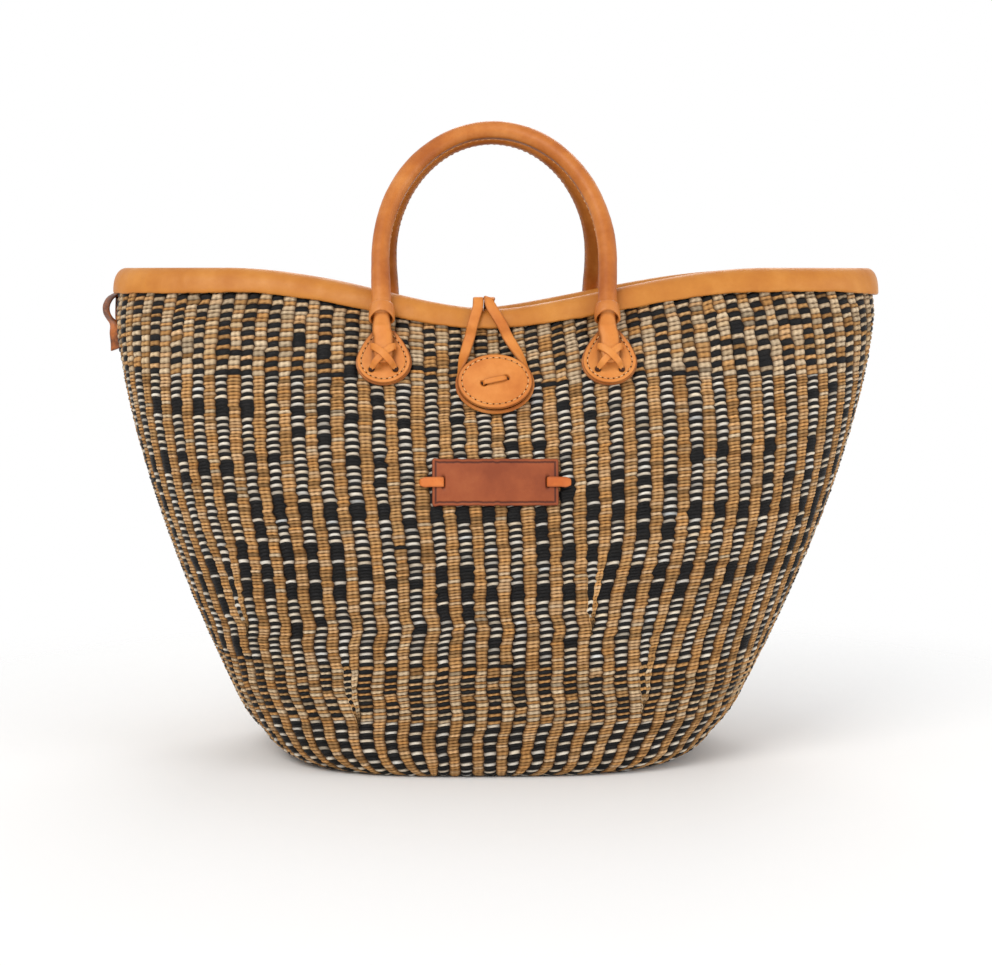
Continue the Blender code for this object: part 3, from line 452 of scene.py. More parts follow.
def makeGrainGroup():
    # leather: pebbled grain height, broad colour clouds and fine darker pores
    tree, take, give = newGroup("leatherGrain", ("Clouds", "Pores", "Height"))
    scale = tree.interface.new_socket(name="Scale", in_out="INPUT", socket_type="NodeSocketFloat")
    scale.default_value = 1.0
    scaled = tree.nodes.new("ShaderNodeVectorMath")
    scaled.operation = "SCALE"
    tree.links.new(take.outputs["Vector"], scaled.inputs[0])
    tree.links.new(take.outputs["Scale"], scaled.inputs["Scale"])
    vector = scaled.outputs["Vector"]
    cells = tree.nodes.new("ShaderNodeTexVoronoi")
    cells.feature = "DISTANCE_TO_EDGE"
    cells.inputs["Scale"].default_value = leatherLook["pebbles"]
    tree.links.new(vector, cells.inputs["Vector"])
    pebble = rangeNode(tree, cells.outputs["Distance"], 0.0, 0.3)
    clouds = noiseNode(tree, vector, leatherLook["clouds"], 4.0, 0.6)
    creases = noiseNode(tree, vector, leatherLook["creases"], 4.0, 0.65)
    pores = noiseNode(tree, vector, leatherLook["pores"], 2.0)
    tree.links.new(rangeNode(tree, clouds, 0.32, 0.68), give.inputs["Clouds"])
    tree.links.new(rangeNode(tree, pores, 0.58, 0.7), give.inputs["Pores"])
    tree.links.new(weighed(tree, pebble, creases, 0.35), give.inputs["Height"])
    return tree


fibreGroup = makeFibreGroup()
grainGroup = makeGrainGroup()


def placeGroup(tree, group, **values):
    # a group fed with Object coordinates and these values
    node = tree.nodes.new("ShaderNodeGroup")
    node.node_tree = group
    for name, value in values.items():
        node.inputs[name].default_value = value
    where = tree.nodes.new("ShaderNodeTexCoord")
    tree.links.new(where.outputs["Object"], node.inputs["Vector"])
    return node


def bump(tree, shader, height, strength, distance):
    node = tree.nodes.new("ShaderNodeBump")
    node.inputs["Strength"].default_value = strength
    node.inputs["Distance"].default_value = distance
    tree.links.new(height, node.inputs["Height"])
    tree.links.new(node.outputs["Normal"], shader.inputs["Normal"])


def sisalMaterial(name):
    # the strand's own colour from the mesh, streaked along its fibres, darker with painted shade and rougher
    # in the hollows
    made, tree, shader = newMaterial(name, sisalLook["roughness"], sisalLook["specular"])
    tone = placeGroup(tree, fibreGroup).outputs
    strand = attributeNode(tree, "strandColour").outputs["Color"]
    streaked = mixNode(tree, tone["Tone"], mixNode(tree, 1.0, strand, sisalLook["deep"], "MULTIPLY"), strand)
    shining = mixNode(tree, sisalLook["shineShare"], streaked, sisalLook["shine"])
    surface = mixNode(tree, rangeNode(tree, tone["Tone"], 0.78, 1.0), streaked, shining)
    # painted shade: the hollow attribute mixes the surface towards this darker copy
    shaded = mixNode(tree, 1.0, surface, sisalLook["hollow"], "MULTIPLY")
    hollow = attributeNode(tree, "hollow").outputs["Fac"]
    tree.links.new(mixNode(tree, hollow, surface, shaded), shader.inputs["Base Color"])
    lightness = tree.nodes.new("ShaderNodeRGBToBW")
    tree.links.new(strand, lightness.inputs["Color"])
    rough = rangeNode(tree, lightness.outputs["Val"], 0.03, 0.12, 0.45, 0.85)
    tree.links.new(rough, shader.inputs["Roughness"])
    bump(tree, shader, tone["Height"], sisalLook["bump"], sisalLook["bumpDepth"])
    return made


def leatherMaterial(name, base, deep, pale, roughness=0.46, scale=1.0, grain=0.35):
    # base colour clouded with a deeper and a paler tone, small pores and a pebbled bump
    made, tree, shader = newMaterial(name, roughness, 0.3)
    leather = placeGroup(tree, grainGroup, Scale=scale).outputs
    base, deep, pale = colour(*base), colour(*deep), colour(*pale)
    clouded = mixNode(tree, rangeNode(tree, leather["Clouds"], 0.0, 0.55), deep, base)
    clouded = mixNode(tree, rangeNode(tree, leather["Clouds"], 0.55, 1.0), clouded, pale)
    pores = mathNode(tree, "MULTIPLY", leather["Pores"], leatherLook["poreShare"])
    pored = mixNode(tree, pores, clouded, deep)
    # burnt edges darken the leather, and the same attribute carries painted shade in hollows, slots and beside
    # the tongues
    burntAndShaded = mixNode(tree, 1.0, pored, leatherLook["burntAndShaded"], "MULTIPLY")
    burnAndShade = attributeNode(tree, "burnAndShade").outputs["Fac"]
    tree.links.new(mixNode(tree, burnAndShade, pored, burntAndShaded), shader.inputs["Base Color"])
    drift = leatherLook["shineDrift"]
    shine = rangeNode(tree, leather["Clouds"], 0.0, 1.0, roughness + drift, roughness - drift)
    tree.links.new(shine, shader.inputs["Roughness"])
    bump(tree, shader, leather["Height"], grain, leatherLook["bumpDepth"])
    return made


# Each leather: its base colour, a deeper and a paler one, roughness, scale of the grain and its depth
sisal = sisalMaterial("twinedSisal")
rimLeather = leatherMaterial("rimLeather", (190, 121, 47), (180, 110, 40), (199, 132, 58))
handleLeather = leatherMaterial("handleLeather", (186, 109, 44), (164, 88, 30), (202, 128, 62), 0.42)
tabLeather = leatherMaterial("tabLeather", (206, 126, 54), (186, 104, 38), (216, 140, 68), 0.5)
labelLeather = leatherMaterial("labelLeather", (147, 72, 35), (131, 60, 28), (158, 83, 43), 0.5)
tieLeather = leatherMaterial("tieLeather", (206, 114, 50), (184, 92, 36), (216, 132, 70), 0.5)
coreLeather = leatherMaterial("coreLeather", (190, 106, 46), (168, 88, 36), (204, 126, 62), 0.55)
darkLeather = leatherMaterial("darkLeather", (112, 60, 28), (56, 30, 17), (184, 104, 46), 0.42, 2.2)
threadPale = leatherMaterial("paleThread", (226, 176, 118), (204, 146, 88), (236, 196, 146), 0.7, 3.0, 0.6)
# painted shade: dark beads laid in the needle holes, lace holes and button holes
holeShade = leatherMaterial("holeShadow", (52, 26, 14), (36, 18, 10), (70, 38, 20), 0.8)
print("Finishes ready")


# Woven body

weave = {
    "ribs": 144,            # at the rim
    "edgeRibs": 112,        # where the wall leaves the base
    "middleRibs": 24,       # along the spine of the base
    "baseRows": 44,
    "spine": 0.0004,        # half the width that the spine of the base leaves open
    "spots": 721,           # places round each ring where its angles and heights are kept
    "topBand": 0.2512,      # height where the speckled top band starts
    "bandSag": 0.008,       # how much lower it starts in the middle
    "sagReach": 1.4,        # how soon that sag ends towards the sides
    "sagFrom": 0.11,        # height from which the rows below it sag as well
    "mouth": 0.293,         # height of the ring that parts the top band
    "tucked": 0.0027,       # how far below the top edge of the binding the weave ends
    "lean": 0.05130435,     # share of the ring that the ribs run sideways for each metre down the wall
    "bakeShare": 0.98,      # share of the bake's square that a piece fills
    # where the points of the wall, base and inside lie across each rib, and then up each row
    "wallPoints": ((0.0, 0.1, 0.28, 0.5, 0.72, 0.9), (0.0, 0.2, 0.5, 0.8)),
    "basePoints": ((0.0, 0.16, 0.5, 0.84), (0.0, 0.25, 0.75)),
    "insidePoints": ((0.0, 0.18, 0.5, 0.82), (0.0, 0.5)),
    "seed": 11,
}
chance = np.random.default_rng(weave["seed"])

# Rows from the bottom up, first round the edge of the base: w white over the dark ribs, k black,
# l black with cream, t tan all round, d black all round, f field rows that choose white or black for each rib
edgeRows = "kwkkwkkwkkwk"
wallRows = "kwkkwkkw" + "t" + "lt" * 8 + "d" + "f" * 85
bandRows = "lt" * 10 + "l"
rowCodes = "f" * weave["baseRows"] + edgeRows + wallRows + bandRows
rowCount = len(rowCodes)
fieldStart = weave["baseRows"] + len(edgeRows)
banded = np.array([code in "lt" for code in rowCodes])
thickness = {"l": 1.06, "t": 0.98}      # height of a row where it isn't 1


def climbed(codes):
    # share of the way up at each boundary of these rows
    weights = np.array([thickness.get(code, 1.0) for code in codes])
    return np.concatenate([[0], np.cumsum(weights)]) / weights.sum()


def rowLines():
    # row boundaries from the spine up to the top band: insets across and deep, heights and tilts of the wall
    edge, frontEdge, endEdge = basket["baseEdge"], basket["frontEdge"], basket["endEdge"]
    depth = float(halfDepth(edge)) - weave["spine"]
    inward = np.linspace(1, 0, weave["baseRows"] + 1)[:-1]
    turn = np.linspace(0, np.pi / 2, len(edgeRows) + 1)[:-1]
    wallZ = edge + (weave["topBand"] - edge) * climbed(wallRows)
    heights = np.concatenate([np.zeros(len(inward)), edge * (1 - np.cos(turn)), wallZ])
    tilts = np.concatenate([np.zeros(len(inward)), turn, np.full(len(wallZ), np.pi / 2)])
    # at the ends the edge is a quarter of a larger circle than in front
    left = np.maximum(endEdge - heights, 0)
    ends = endEdge - np.sqrt(endEdge**2 - left**2)
    ends[: len(inward)] += (depth - edge) * inward
    front = [frontEdge + (depth - frontEdge) * inward, frontEdge * (1 - np.sin(turn)), 0 * wallZ]
    return np.stack([ends, np.concatenate(front)], 1), heights, tilts


def ringLengths(insets, heights, turn):
    # lengths gone round the ring of each row at these plan angles
    across, along = plan(turn)
    high = np.maximum(heights, basket["baseEdge"])
    x = (halfWidth(high) - insets[:, 0])[:, None] * across
    y = (halfDepth(high) - insets[:, 1])[:, None] * along
    steps = np.hypot(np.diff(x, axis=1), np.diff(y, axis=1))
    return np.concatenate([np.zeros((len(steps), 1)), np.cumsum(steps, 1)], 1)


def angleTable(insets, heights):
    # for each row boundary, the plan angles that part its ring into equal lengths
    fine = np.linspace(0, 2 * np.pi, 2 * weave["spots"] - 1)
    length = ringLengths(insets, heights, fine)
    length /= length[:, -1:]
    rows = np.arange(len(length))[:, None] * 2
    goal = (np.linspace(0, 1, weave["spots"])[None] + rows).ravel()
    found = np.interp(goal, (length + rows).ravel(), np.tile(fine, len(length)))
    return found.reshape(len(length), weave["spots"])


# The top band fills what is left under the binding; the rows below it sag a little in the middle
insets, heights, tilts = rowLines()
topAngles = angleTable(np.zeros((1, 2)), np.array([weave["mouth"]]))[0]
wallTop = rimLine(basket["widestHalfWidth"] * plan(topAngles)[0], topAngles < np.pi) - weave["tucked"]
sideness = (wallTop - wallTop.min()) / basket["rimDip"]
bandBase = weave["topBand"] - weave["bandSag"] * (1 - smooth(sideness * weave["sagReach"]))
bandZ = bandBase + (wallTop - bandBase) * climbed(bandRows)[1:, None]
sagging = smooth((heights - weave["sagFrom"]) / (weave["topBand"] - weave["sagFrom"]) / 2) * 2
heightTable = heights[:, None] + (bandBase - weave["topBand"])[None] * sagging[:, None]
heightTable = np.concatenate([heightTable, bandZ])
insetTable = np.concatenate([insets, np.zeros((len(bandRows), 2))])
tiltTable = np.concatenate([tilts, np.full(len(bandRows), np.pi / 2)])
meanHeights = heightTable.mean(1)
angles = angleTable(insetTable, meanHeights)

# Ribs are born in pairs as the ring grows, each at a place counted from the front or back to the end
birth = {
    "wallPlaces": ((13, 5, 16, 10), (11, 4, 14, 7), (14, 6, 16, 11), (12, 6, 15, 3)),   # by quarter
    "basePlaces": (8, 1, 9, 13, 6, 2, 11, 15, 5, 14, 0, 12, 3, 16, 7, 10, 4),
    "wallLead": 15,         # rows by which a pair comes before the ring has the room for it
    "baseLead": 5,
    "stray": 3,
    "apart": 5,
    "start": 0.04,          # width of a new rib, what it gains soon and what it gains in the end
    "soon": 0.28,
    "soonRows": 7,
    "wallRows": 36.0,
    "baseRows": 12.0,
    "uneven": 0.035,        # how much the ribs differ in width
    "darkWider": 0.01,      # and how much wider the dark ones are
    "drift": 0.000222222,   # how far their edges wander, and jump, as shares of the ring
    "jump": 0.0004,
}


def birthRows():
    # the row at which each pair of ribs is born, or -1 for the pairs that start at the spine
    pairs = weave["ribs"] // 2
    quarter = pairs // 4
    early, first = weave["edgeRibs"] // 8, weave["middleRibs"] // 8
    quadrant = np.arange(pairs) // quarter
    fromFront = (np.arange(pairs) - pairs * 3 // 4) % pairs
    fromFront = np.minimum(fromFront, pairs - 1 - fromFront)
    step = np.minimum(fromFront, 2 * quarter - 1 - fromFront)
    lengths = ringLengths(insetTable, meanHeights, np.linspace(0, 2 * np.pi, 241))[:, -1]
    room = lengths / lengths[-1] * quarter
    aboveEdge = np.arange(rowCount + 1) > fieldStart
    born = np.full(pairs, -1.0)
    for q, places in enumerate(birth["wallPlaces"]):
        for k, place in enumerate(places):
            crossing = np.argmax((room > early + k + 0.5) & aboveEdge)
            row = crossing - birth["wallLead"] + round(chance.uniform(-birth["stray"], birth["stray"]))
            lowest = fieldStart + 1 + birth["apart"] * (k + q % 2)
            born[(quadrant == q) & (step == place)] = max(row, lowest)
        rest = [place for place in birth["basePlaces"] if place not in places]
        for k, place in enumerate(rest[: early - first]):
            row = np.argmax(room > first + k + 0.5) - birth["baseLead"]
            born[(quadrant == q) & (step == place)] = min(max(row, 1), weave["baseRows"] - 2)
    return born


def ribTable():
    # boundaries of the ribs as shares of the ring at each row, and how far each rib has grown
    ribBorn = np.repeat(birthRows(), 2)
    span = np.where(ribBorn > fieldStart, birth["wallRows"], birth["baseRows"])
    age = np.arange(rowCount + 1)[:, None] - ribBorn
    gained = birth["soon"] * smooth(age / birth["soonRows"])
    gained = gained + (1 - birth["start"] - birth["soon"]) * smooth(age / span)
    grown = np.where(age >= 0, birth["start"] + gained, 0.0)
    uneven = 1 + birth["uneven"] * chance.standard_normal(weave["ribs"])
    uneven *= 1 + birth["darkWider"] * np.tile([1, -1], weave["ribs"] // 2)
    edges = np.concatenate([np.zeros((rowCount + 1, 1)), np.cumsum(grown * uneven, 1)], 1)
    edges /= edges[:, -1:]
    drift = birth["drift"] * spread(chance.standard_normal((weave["ribs"], rowCount + 1)), 9).T
    drift += birth["jump"] * chance.standard_normal((rowCount + 1, weave["ribs"]))
    shift = weave["lean"] * (meanHeights[-1] - meanHeights)[:, None]
    return edges + np.concatenate([drift, drift[:, :1]], 1) + shift, grown


ribEdges, ribGrown = ribTable()

# Colour of each stitch as a code; random values past these limits change it
tan, black, white, cream = range(4)
pattern = {
    "patchRows": 3,         # rows in which a dark rib's black patch begins and ends
    "alone": 0.8,           # how much patches differ from rib to rib, and from row to row
    "together": 0.55,
    "dark": 0.55,           # patches above this are black
    "darkAgain": 1.4,       # and above this also where the one below is
    "higher": 0.9,          # how much rarer they are near the top band, and the share where that starts
    "higherFrom": 0.68,
    "higherRise": 0.2,
    "lone": 2.0,            # single white stitches that are black, and cream ones on the tan ribs
    "loneCream": 1.9,
    "strayField": 2.9,      # stray stitches in field rows, black rows and tan rows
    "strayBlack": 0.7,
    "strayTan": 0.5,
    "creamOnDark": 0.0,     # limits of the flecks in the banded rows, by the strand that they cover
    "creamOnTan": 0.8,
    "tanOnBlack": -1.25,
    "blackOnCream": -1.7,
    "blackOnTan": -2.1,
    "tanOnCream": 1.5,
    "young": 0.3,           # ribs narrower than this are tan
}


def strandCodes():
    # code of the strand that each stitch shows, row by row; dark ribs are the even ones
    ribs, half = weave["ribs"], weave["ribs"] // 2
    codes = np.zeros((rowCount, ribs), int)
    bands = rowCount // pattern["patchRows"] + 2
    patch = pattern["alone"] * spread(chance.standard_normal((bands, half)), 5)
    patch = patch + pattern["together"] * chance.standard_normal((bands, 1))
    lonely = chance.standard_normal((bands, half))
    plain = patch > pattern["dark"]
    for row in range(1, bands):
        # two dark patches seldom follow each other on the same rib
        plain[row] &= ~plain[row - 1] | (lonely[row] > pattern["darkAgain"])
    single = chance.standard_normal((rowCount, half))
    stray = spread(chance.standard_normal((rowCount, half)), 3)
    fleck = chance.standard_normal((rowCount, ribs))
    for r, code in enumerate(rowCodes):
        dark, light = np.full(half, {"w": white, "t": tan}.get(code, black)), np.full(half, tan)
        if code == "l":
            light[:] = cream
        elif code == "d":
            light[stray[r] > pattern["strayBlack"]] = black
        elif code == "t":
            dark[stray[r] > pattern["strayTan"]] = cream
        elif code == "f":
            up = (r - fieldStart) / len(wallRows)
            rarer = pattern["higher"] * smooth((up - pattern["higherFrom"]) / pattern["higherRise"])
            spot = r // pattern["patchRows"]
            covered = plain[spot] & (patch[spot] > pattern["dark"] + rarer)
            dark[(r % 2 == 0) & ~covered & (single[r] < pattern["lone"])] = white
            light[stray[r] > pattern["strayField"]] = black
            light[single[r] > pattern["loneCream"]] = cream
        codes[r, 0::2], codes[r, 1::2] = dark, light
    top = (np.arange(rowCount) >= fieldStart + len(wallRows))[:, None]
    lens = np.array([code == "l" for code in rowCodes])[:, None]
    darkRib = (np.arange(ribs) % 2 == 0)[None]
    creamLimit = np.where(darkRib, pattern["creamOnDark"], pattern["creamOnTan"])
    # flecks in the banded rows: where, and the strand that shows there instead
    swaps = (
        (top & (codes == tan) & (fleck > creamLimit), cream),
        (lens & darkRib & (fleck < pattern["tanOnBlack"]), tan),
        (top & lens & ~darkRib & (fleck < pattern["blackOnCream"]), black),
        (top & ~lens & darkRib & (fleck < pattern["blackOnTan"]), black),
        (lens & ~darkRib & (fleck > pattern["tanOnCream"]), tan),
    )
    for where, code in swaps:
        codes[where] = code
    codes[ribGrown[:-1] < pattern["young"]] = tan
    return codes


strands = strandCodes()
tones = ((227, 175, 112), (20, 19, 20), (252, 245, 230), (250, 228, 194))
strandTones = np.array([linear(*tone) for tone in tones])
fibre = {
    "uneven": 0.21,         # how much the stitches differ in brightness, singly and in runs
    "unevenRuns": 0.07,
    "brightRange": (0.5, 1.5),
    "warm": 0.035,          # and in warmth
    "warmBlue": 1.6,        # how much more of its blue a warm stitch loses than it gains of red
    "paleFrom": 1.05,       # brightness from which a tan stitch turns paler, how soon and how far
    "paleRise": 1.3,
    "palest": 0.5,
    "newest": 0.08,         # brightness of a rib that is just born: painted shade of the furrow that it opens
    "hiddenUntil": 0.55,
    "brightest": 0.93,
}


def strandColours():
    # each stitch's tone: its strand's colour, a little lighter or darker, redder or paler, with painted shade
    # on young ribs
    size = (rowCount, weave["ribs"])
    bright = 1 + fibre["uneven"] * chance.standard_normal(size)
    bright = bright + fibre["unevenRuns"] * spread(chance.standard_normal(size), 9)
    bright = np.clip(bright, *fibre["brightRange"])
    warm = fibre["warm"] * chance.standard_normal(size)
    warm = np.where(strands == cream, np.abs(warm), warm)
    tint = np.stack([1 + warm, np.ones_like(warm), 1 - fibre["warmBlue"] * warm], -1)
    pale = np.clip((bright - fibre["paleFrom"]) * fibre["paleRise"], 0, fibre["palest"])
    pale = np.where(strands == tan, pale, 0)[..., None]
    tone = (strandTones[strands] * (1 - pale) + strandTones[cream] * pale) * bright[..., None] * tint
    # painted shade: a young rib is darkened so that it looks like the furrow that it opens
    furrowShade = fibre["newest"] + (1 - fibre["newest"]) * smooth(ribGrown[:-1] / fibre["hiddenUntil"])
    tone = tone * furrowShade[..., None]
    # too bright a stitch is scaled back as a whole, so that it keeps its hue
    return tone / np.maximum(tone.max(-1, keepdims=True) / fibre["brightest"], 1)


stitchColours = strandColours()
plump = {"l": 1.08, "t": 0.93}          # thickness of the stitches in a row where it isn't 1
plumpness = np.array([1.0, 1.06, 1.0, 1.04])[strands]
plumpness *= np.array([plump.get(code, 1.0) for code in rowCodes])[:, None]

relief = {
    "furrow": 0.0018,       # depth between neighbouring ribs
    "furrowPower": 0.55,
    "narrowest": 0.15,      # share of a full rib's width below which furrows get no shallower
    "fullRib": 0.92,
    "valley": 0.0011,       # depth between rows
    "blackValley": 0.75,    # its share between two black stitches
    "furrowValley": 0.35,   # and in the furrow
    "dent": 0.0006,         # depth of the crossing in the middle of a tan stitch
    "thin": 0.00016,        # how far thin stitches lie back, and how thick the foremost are
    "thickest": 1.12,
    "lump": 0.00017,
    "darkest": 0.0014,      # depth at which the painted shade of a hollow is darkest
    "give": 0.55,           # how far thin stitches give way to thick ones, in rows
    "slant": 0.46,          # rise of a stitch across its rib, in rows
    "slantVaries": 0.2,
    "tanSlant": 0.7,        # its share on the tan ribs
    "arch": 0.30,           # rise of its middle
    "tanArch": 0.4,         # its share on the tan ribs, and in banded rows
    "bandedArch": 0.3,
    "ripple": 0.34,         # drift of the rows
    "rippleRows": 7,
    "fadeRows": 1.5,
}
slantByRib = 1 + relief["slantVaries"] * chance.standard_normal(weave["ribs"])
coarse = spread(chance.standard_normal((rowCount // relief["rippleRows"] + 3, weave["ribs"])), 7)
rippleAt = np.arange(rowCount + 1) / relief["rippleRows"]
rippleLow = rippleAt.astype(int)
rippleShare = (rippleAt - rippleLow)[:, None]
ripple = coarse[rippleLow] * (1 - rippleShare) + coarse[rippleLow + 1] * rippleShare
lumps = chance.standard_normal((rowCount, weave["ribs"]))


def sample(table, rowAt, ringAt):
    # table read between its rows and columns; the ring wraps round
    low = np.clip(np.floor(rowAt).astype(int), 0, table.shape[0] - 2)
    part = rowAt - low
    spot = np.mod(ringAt, 1.0) * (table.shape[1] - 1)
    left = np.minimum(spot.astype(int), table.shape[1] - 2)
    share = spot - left
    below, above = (table[row, left] * (1 - share) + table[row, left + 1] * share for row in (low, low + 1))
    return below * (1 - part) + above * part


def rowsBeside(rowAt):
    # the boundary next to each place, and the rows below and above it
    boundary = np.round(rowAt).astype(int)
    return boundary, np.clip(boundary - 1, 0, rowCount - 1), np.clip(boundary, 0, rowCount - 1)


def stitchRows(rowAt, firstRow, share, ring, inside):
    # the row that each point reaches: a stitch rises to the right and drops back in the furrow, its middle is
    # arched, and the line between a thick and a thin stitch moves away from the thick one
    boundary, below, above = rowsBeside(rowAt)
    level = rowAt - np.floor(rowAt)
    bulge, dark = np.sin(np.pi * share), ring % 2 == 0
    nearEdge = np.maximum(1 - 2 * np.minimum(level, 1 - level), 0)[:, None]
    move = relief["give"] * (plumpness[below] - plumpness[above])[:, ring] * nearEdge * bulge
    rise = np.where(share == 0, 0.0, (share - 0.5) * (-1 if inside else 1))
    move = move + relief["slant"] * np.where(dark, 1, relief["tanSlant"]) * slantByRib[ring] * rise
    flat = np.where(banded[above], relief["bandedArch"], 1)[:, None]
    move = move + relief["arch"] * np.where(dark, 1, relief["tanArch"]) * bulge * flat
    move = move + relief["ripple"] * ripple[boundary][:, ring]
    fade = np.clip((rowAt - firstRow) / relief["fadeRows"], 0, 1)
    fade = fade * np.clip((rowCount - rowAt) / relief["fadeRows"], 0, 1)
    return np.clip(rowAt[:, None] + move * fade[:, None], 0, rowCount)


def plainPlaces(at, owner, share):
    # places of points at these rows and rib shares on the plain wall, edge and base, and the normals there
    low = np.clip(np.floor(at).astype(int), 0, rowCount - 1)
    part = at - low
    left = np.minimum(owner, weave["ribs"] - 1)
    start, end = (ribEdges[low, left + k] * (1 - part) + ribEdges[low + 1, left + k] * part for k in (0, 1))
    ringAt = np.where(owner == weave["ribs"], end, start + share * (end - start))
    z = sample(heightTable, at, ringAt)
    across, along = plan(sample(angles, at, ringAt))
    marks = np.arange(rowCount + 1)
    wideInset, deepInset, tilt = (np.interp(at, marks, row) for row in (*insetTable.T, tiltTable))
    wallZ = np.maximum(z, basket["baseEdge"])
    x, y = (halfWidth(wallZ) - wideInset) * across, (halfDepth(wallZ) - deepInset) * along
    # the normal turns from straight down under the base to the wall's own
    sideways = wallNormal(*(np.where(np.abs(v) < 1e-6, 1e-6, v) for v in (x, y)), wallZ)
    down = np.array([0, 0, -1.0])
    normal = unit(sideways * np.sin(tilt)[..., None] + down * np.cos(tilt)[..., None])
    return np.stack([x, y, z], -1), normal


def stitchRelief(rowAt, owner, share):
    # lift of each point, at most 0, and how much painted shade its hollow gets: a rounded ridge over each rib,
    # a half tube over each row, and a dent where two tan strands cross
    ribs = weave["ribs"]
    ring, left = owner % ribs, np.minimum(owner, ribs - 1)
    _, below, above = rowsBeside(rowAt)
    cell = np.minimum(rowAt.astype(int), rowCount - 1)
    level = rowAt - np.floor(rowAt)
    bulge = np.sin(np.pi * share)
    tube = np.sqrt(np.maximum(1 - (2 * level - 1) ** 2, 0))[:, None]
    width = (ribEdges[cell + 1][:, left + 1] - ribEdges[cell + 1][:, left]) * ribs
    width = np.clip(width * relief["fullRib"], relief["narrowest"], 1)
    here, lump = strands[cell][:, ring], lumps[cell][:, ring]
    sameBlack = (strands[below] == strands[above])[:, ring] & (here == black)
    lift = -relief["furrow"] * width * (1 - bulge ** relief["furrowPower"])
    valley = relief["valley"] * np.where(sameBlack, relief["blackValley"], 1)
    flat = relief["furrowValley"]
    lift = lift - valley * (1 - tube) * (flat + (1 - flat) * bulge)
    lift = lift - relief["thin"] * (relief["thickest"] - plumpness[cell][:, ring]) * bulge
    lift = lift + relief["lump"] * lump * bulge * tube
    crossing = ((here == tan) | (here == cream)) & (share == 0.5)
    lift = lift - np.where(crossing, relief["dent"] * (1.5 - tube), 0.0)
    # painted shade: the deeper a point lies, the darker its hollow
    hollow = np.clip(-lift / relief["darkest"], 0, 1) * np.clip(width * 1.2, 0, 1)
    # painted shade in the dent where two tan strands cross
    crossed = np.where(crossing, 0.1 + 0.8 * (1 - tube), 0.0) * (0.6 + 0.4 * lump)
    return lift, np.clip(hollow + np.maximum(crossed, 0), 0, 1)


def weaveGrid(shares, levels, rows, inside=False):
    # a run of rows as one grid, with points at these shares across each rib and levels up each row: returns
    # the points, the rib that owns each column, the painted shade of the hollows, the rows' numbers and which
    # ribs live there
    ribs = weave["ribs"]
    share = np.append(np.tile(shares, ribs), 0.0)
    owner = np.append(np.repeat(np.arange(ribs), len(shares)), ribs)
    rowAt = np.append((np.arange(*rows)[:, None] + np.array(levels)).ravel(), rows[1] * 1.0)
    points, normal = plainPlaces(stitchRows(rowAt, rows[0], share, owner % ribs, inside), owner, share)
    lift, hollow = stitchRelief(rowAt, owner, share)
    if inside:
        lift = -basket["wall"] - lift
    row = rowAt.astype(int)
    return swayed(points + lift[..., None] * normal), owner, hollow, row, ribGrown[row] > 0


def weavePiece(name, grid, firstRib, lastRib, inside=False):
    # one run of ribs cut from the grid: ribs that are not born yet close up on their right neighbour
    points, owner, hollow, row, live = grid
    ribs = weave["ribs"]
    perRib, rows = (len(owner) - 1) // ribs, len(points)
    firstCol, lastCol = firstRib * perRib, lastRib * perRib
    cols = np.arange(firstCol, lastCol + 1)
    count = len(cols)
    alive = np.concatenate([live, np.ones((rows, 1), bool)], 1)
    nextLive = np.where(alive, np.arange(ribs + 1), ribs)
    nextLive = np.minimum.accumulate(nextLive[:, ::-1], 1)[:, ::-1]
    target = np.where(alive[:, owner[cols]], cols, nextLive[:, owner[cols]] * perRib)
    ids = np.minimum(target, lastCol) - firstCol + np.arange(rows)[:, None] * count
    a, b, c, d = ids[:-1, :-1], ids[:-1, 1:], ids[1:, 1:], ids[1:, :-1]
    tris = np.stack([np.stack([a, b, c], -1), np.stack([a, c, d], -1)], 2)
    # seen from inside, a rib shows the strand that its neighbour shows outside
    shown = (owner[cols[:-1]] + int(inside)) % ribs
    colours = np.repeat(stitchColours[row[:-1]][:, shown, None], 2, 2)
    tris, colours = tris.reshape(-1, 3), colours.reshape(-1, 3)
    good = (tris != np.roll(tris, 1, axis=1)).all(1)
    tris, colours = tris[good], colours[good]
    if inside:
        tris = tris[:, ::-1]
    used, corner = np.unique(tris.ravel(), return_inverse=True)
    verts = points[:, firstCol : lastCol + 1].reshape(-1, 3)[used]
    made = meshFrom(name, verts, corner, np.full(len(tris), 3), sisal)
    paint = made.data.color_attributes.new(name="strandColour", type="FLOAT_COLOR", domain="CORNER")
    fill = np.concatenate([np.repeat(colours, 3, 0), np.ones((len(tris) * 3, 1))], 1)
    paint.data.foreach_set("color", fill.astype(np.float32).ravel())
    layer = made.data.uv_layers.new(name="OFBake")
    square = np.stack([(used % count) / (count - 1), (used // count) / (rows - 1)], -1)
    square = 0.5 + (square - 0.5) * weave["bakeShare"]
    layer.uv.foreach_set("vector", square[corner].astype(np.float32).ravel())
    # painted shade of the hollows, which the sisal material darkens by
    depth = made.data.attributes.new("hollow", "FLOAT", "POINT")
    depth.data.foreach_set("value", hollow[:, cols].reshape(-1)[used].astype(np.float32))
    dressed(made, "sisal", "basket", "woven_body")
    return len(tris)


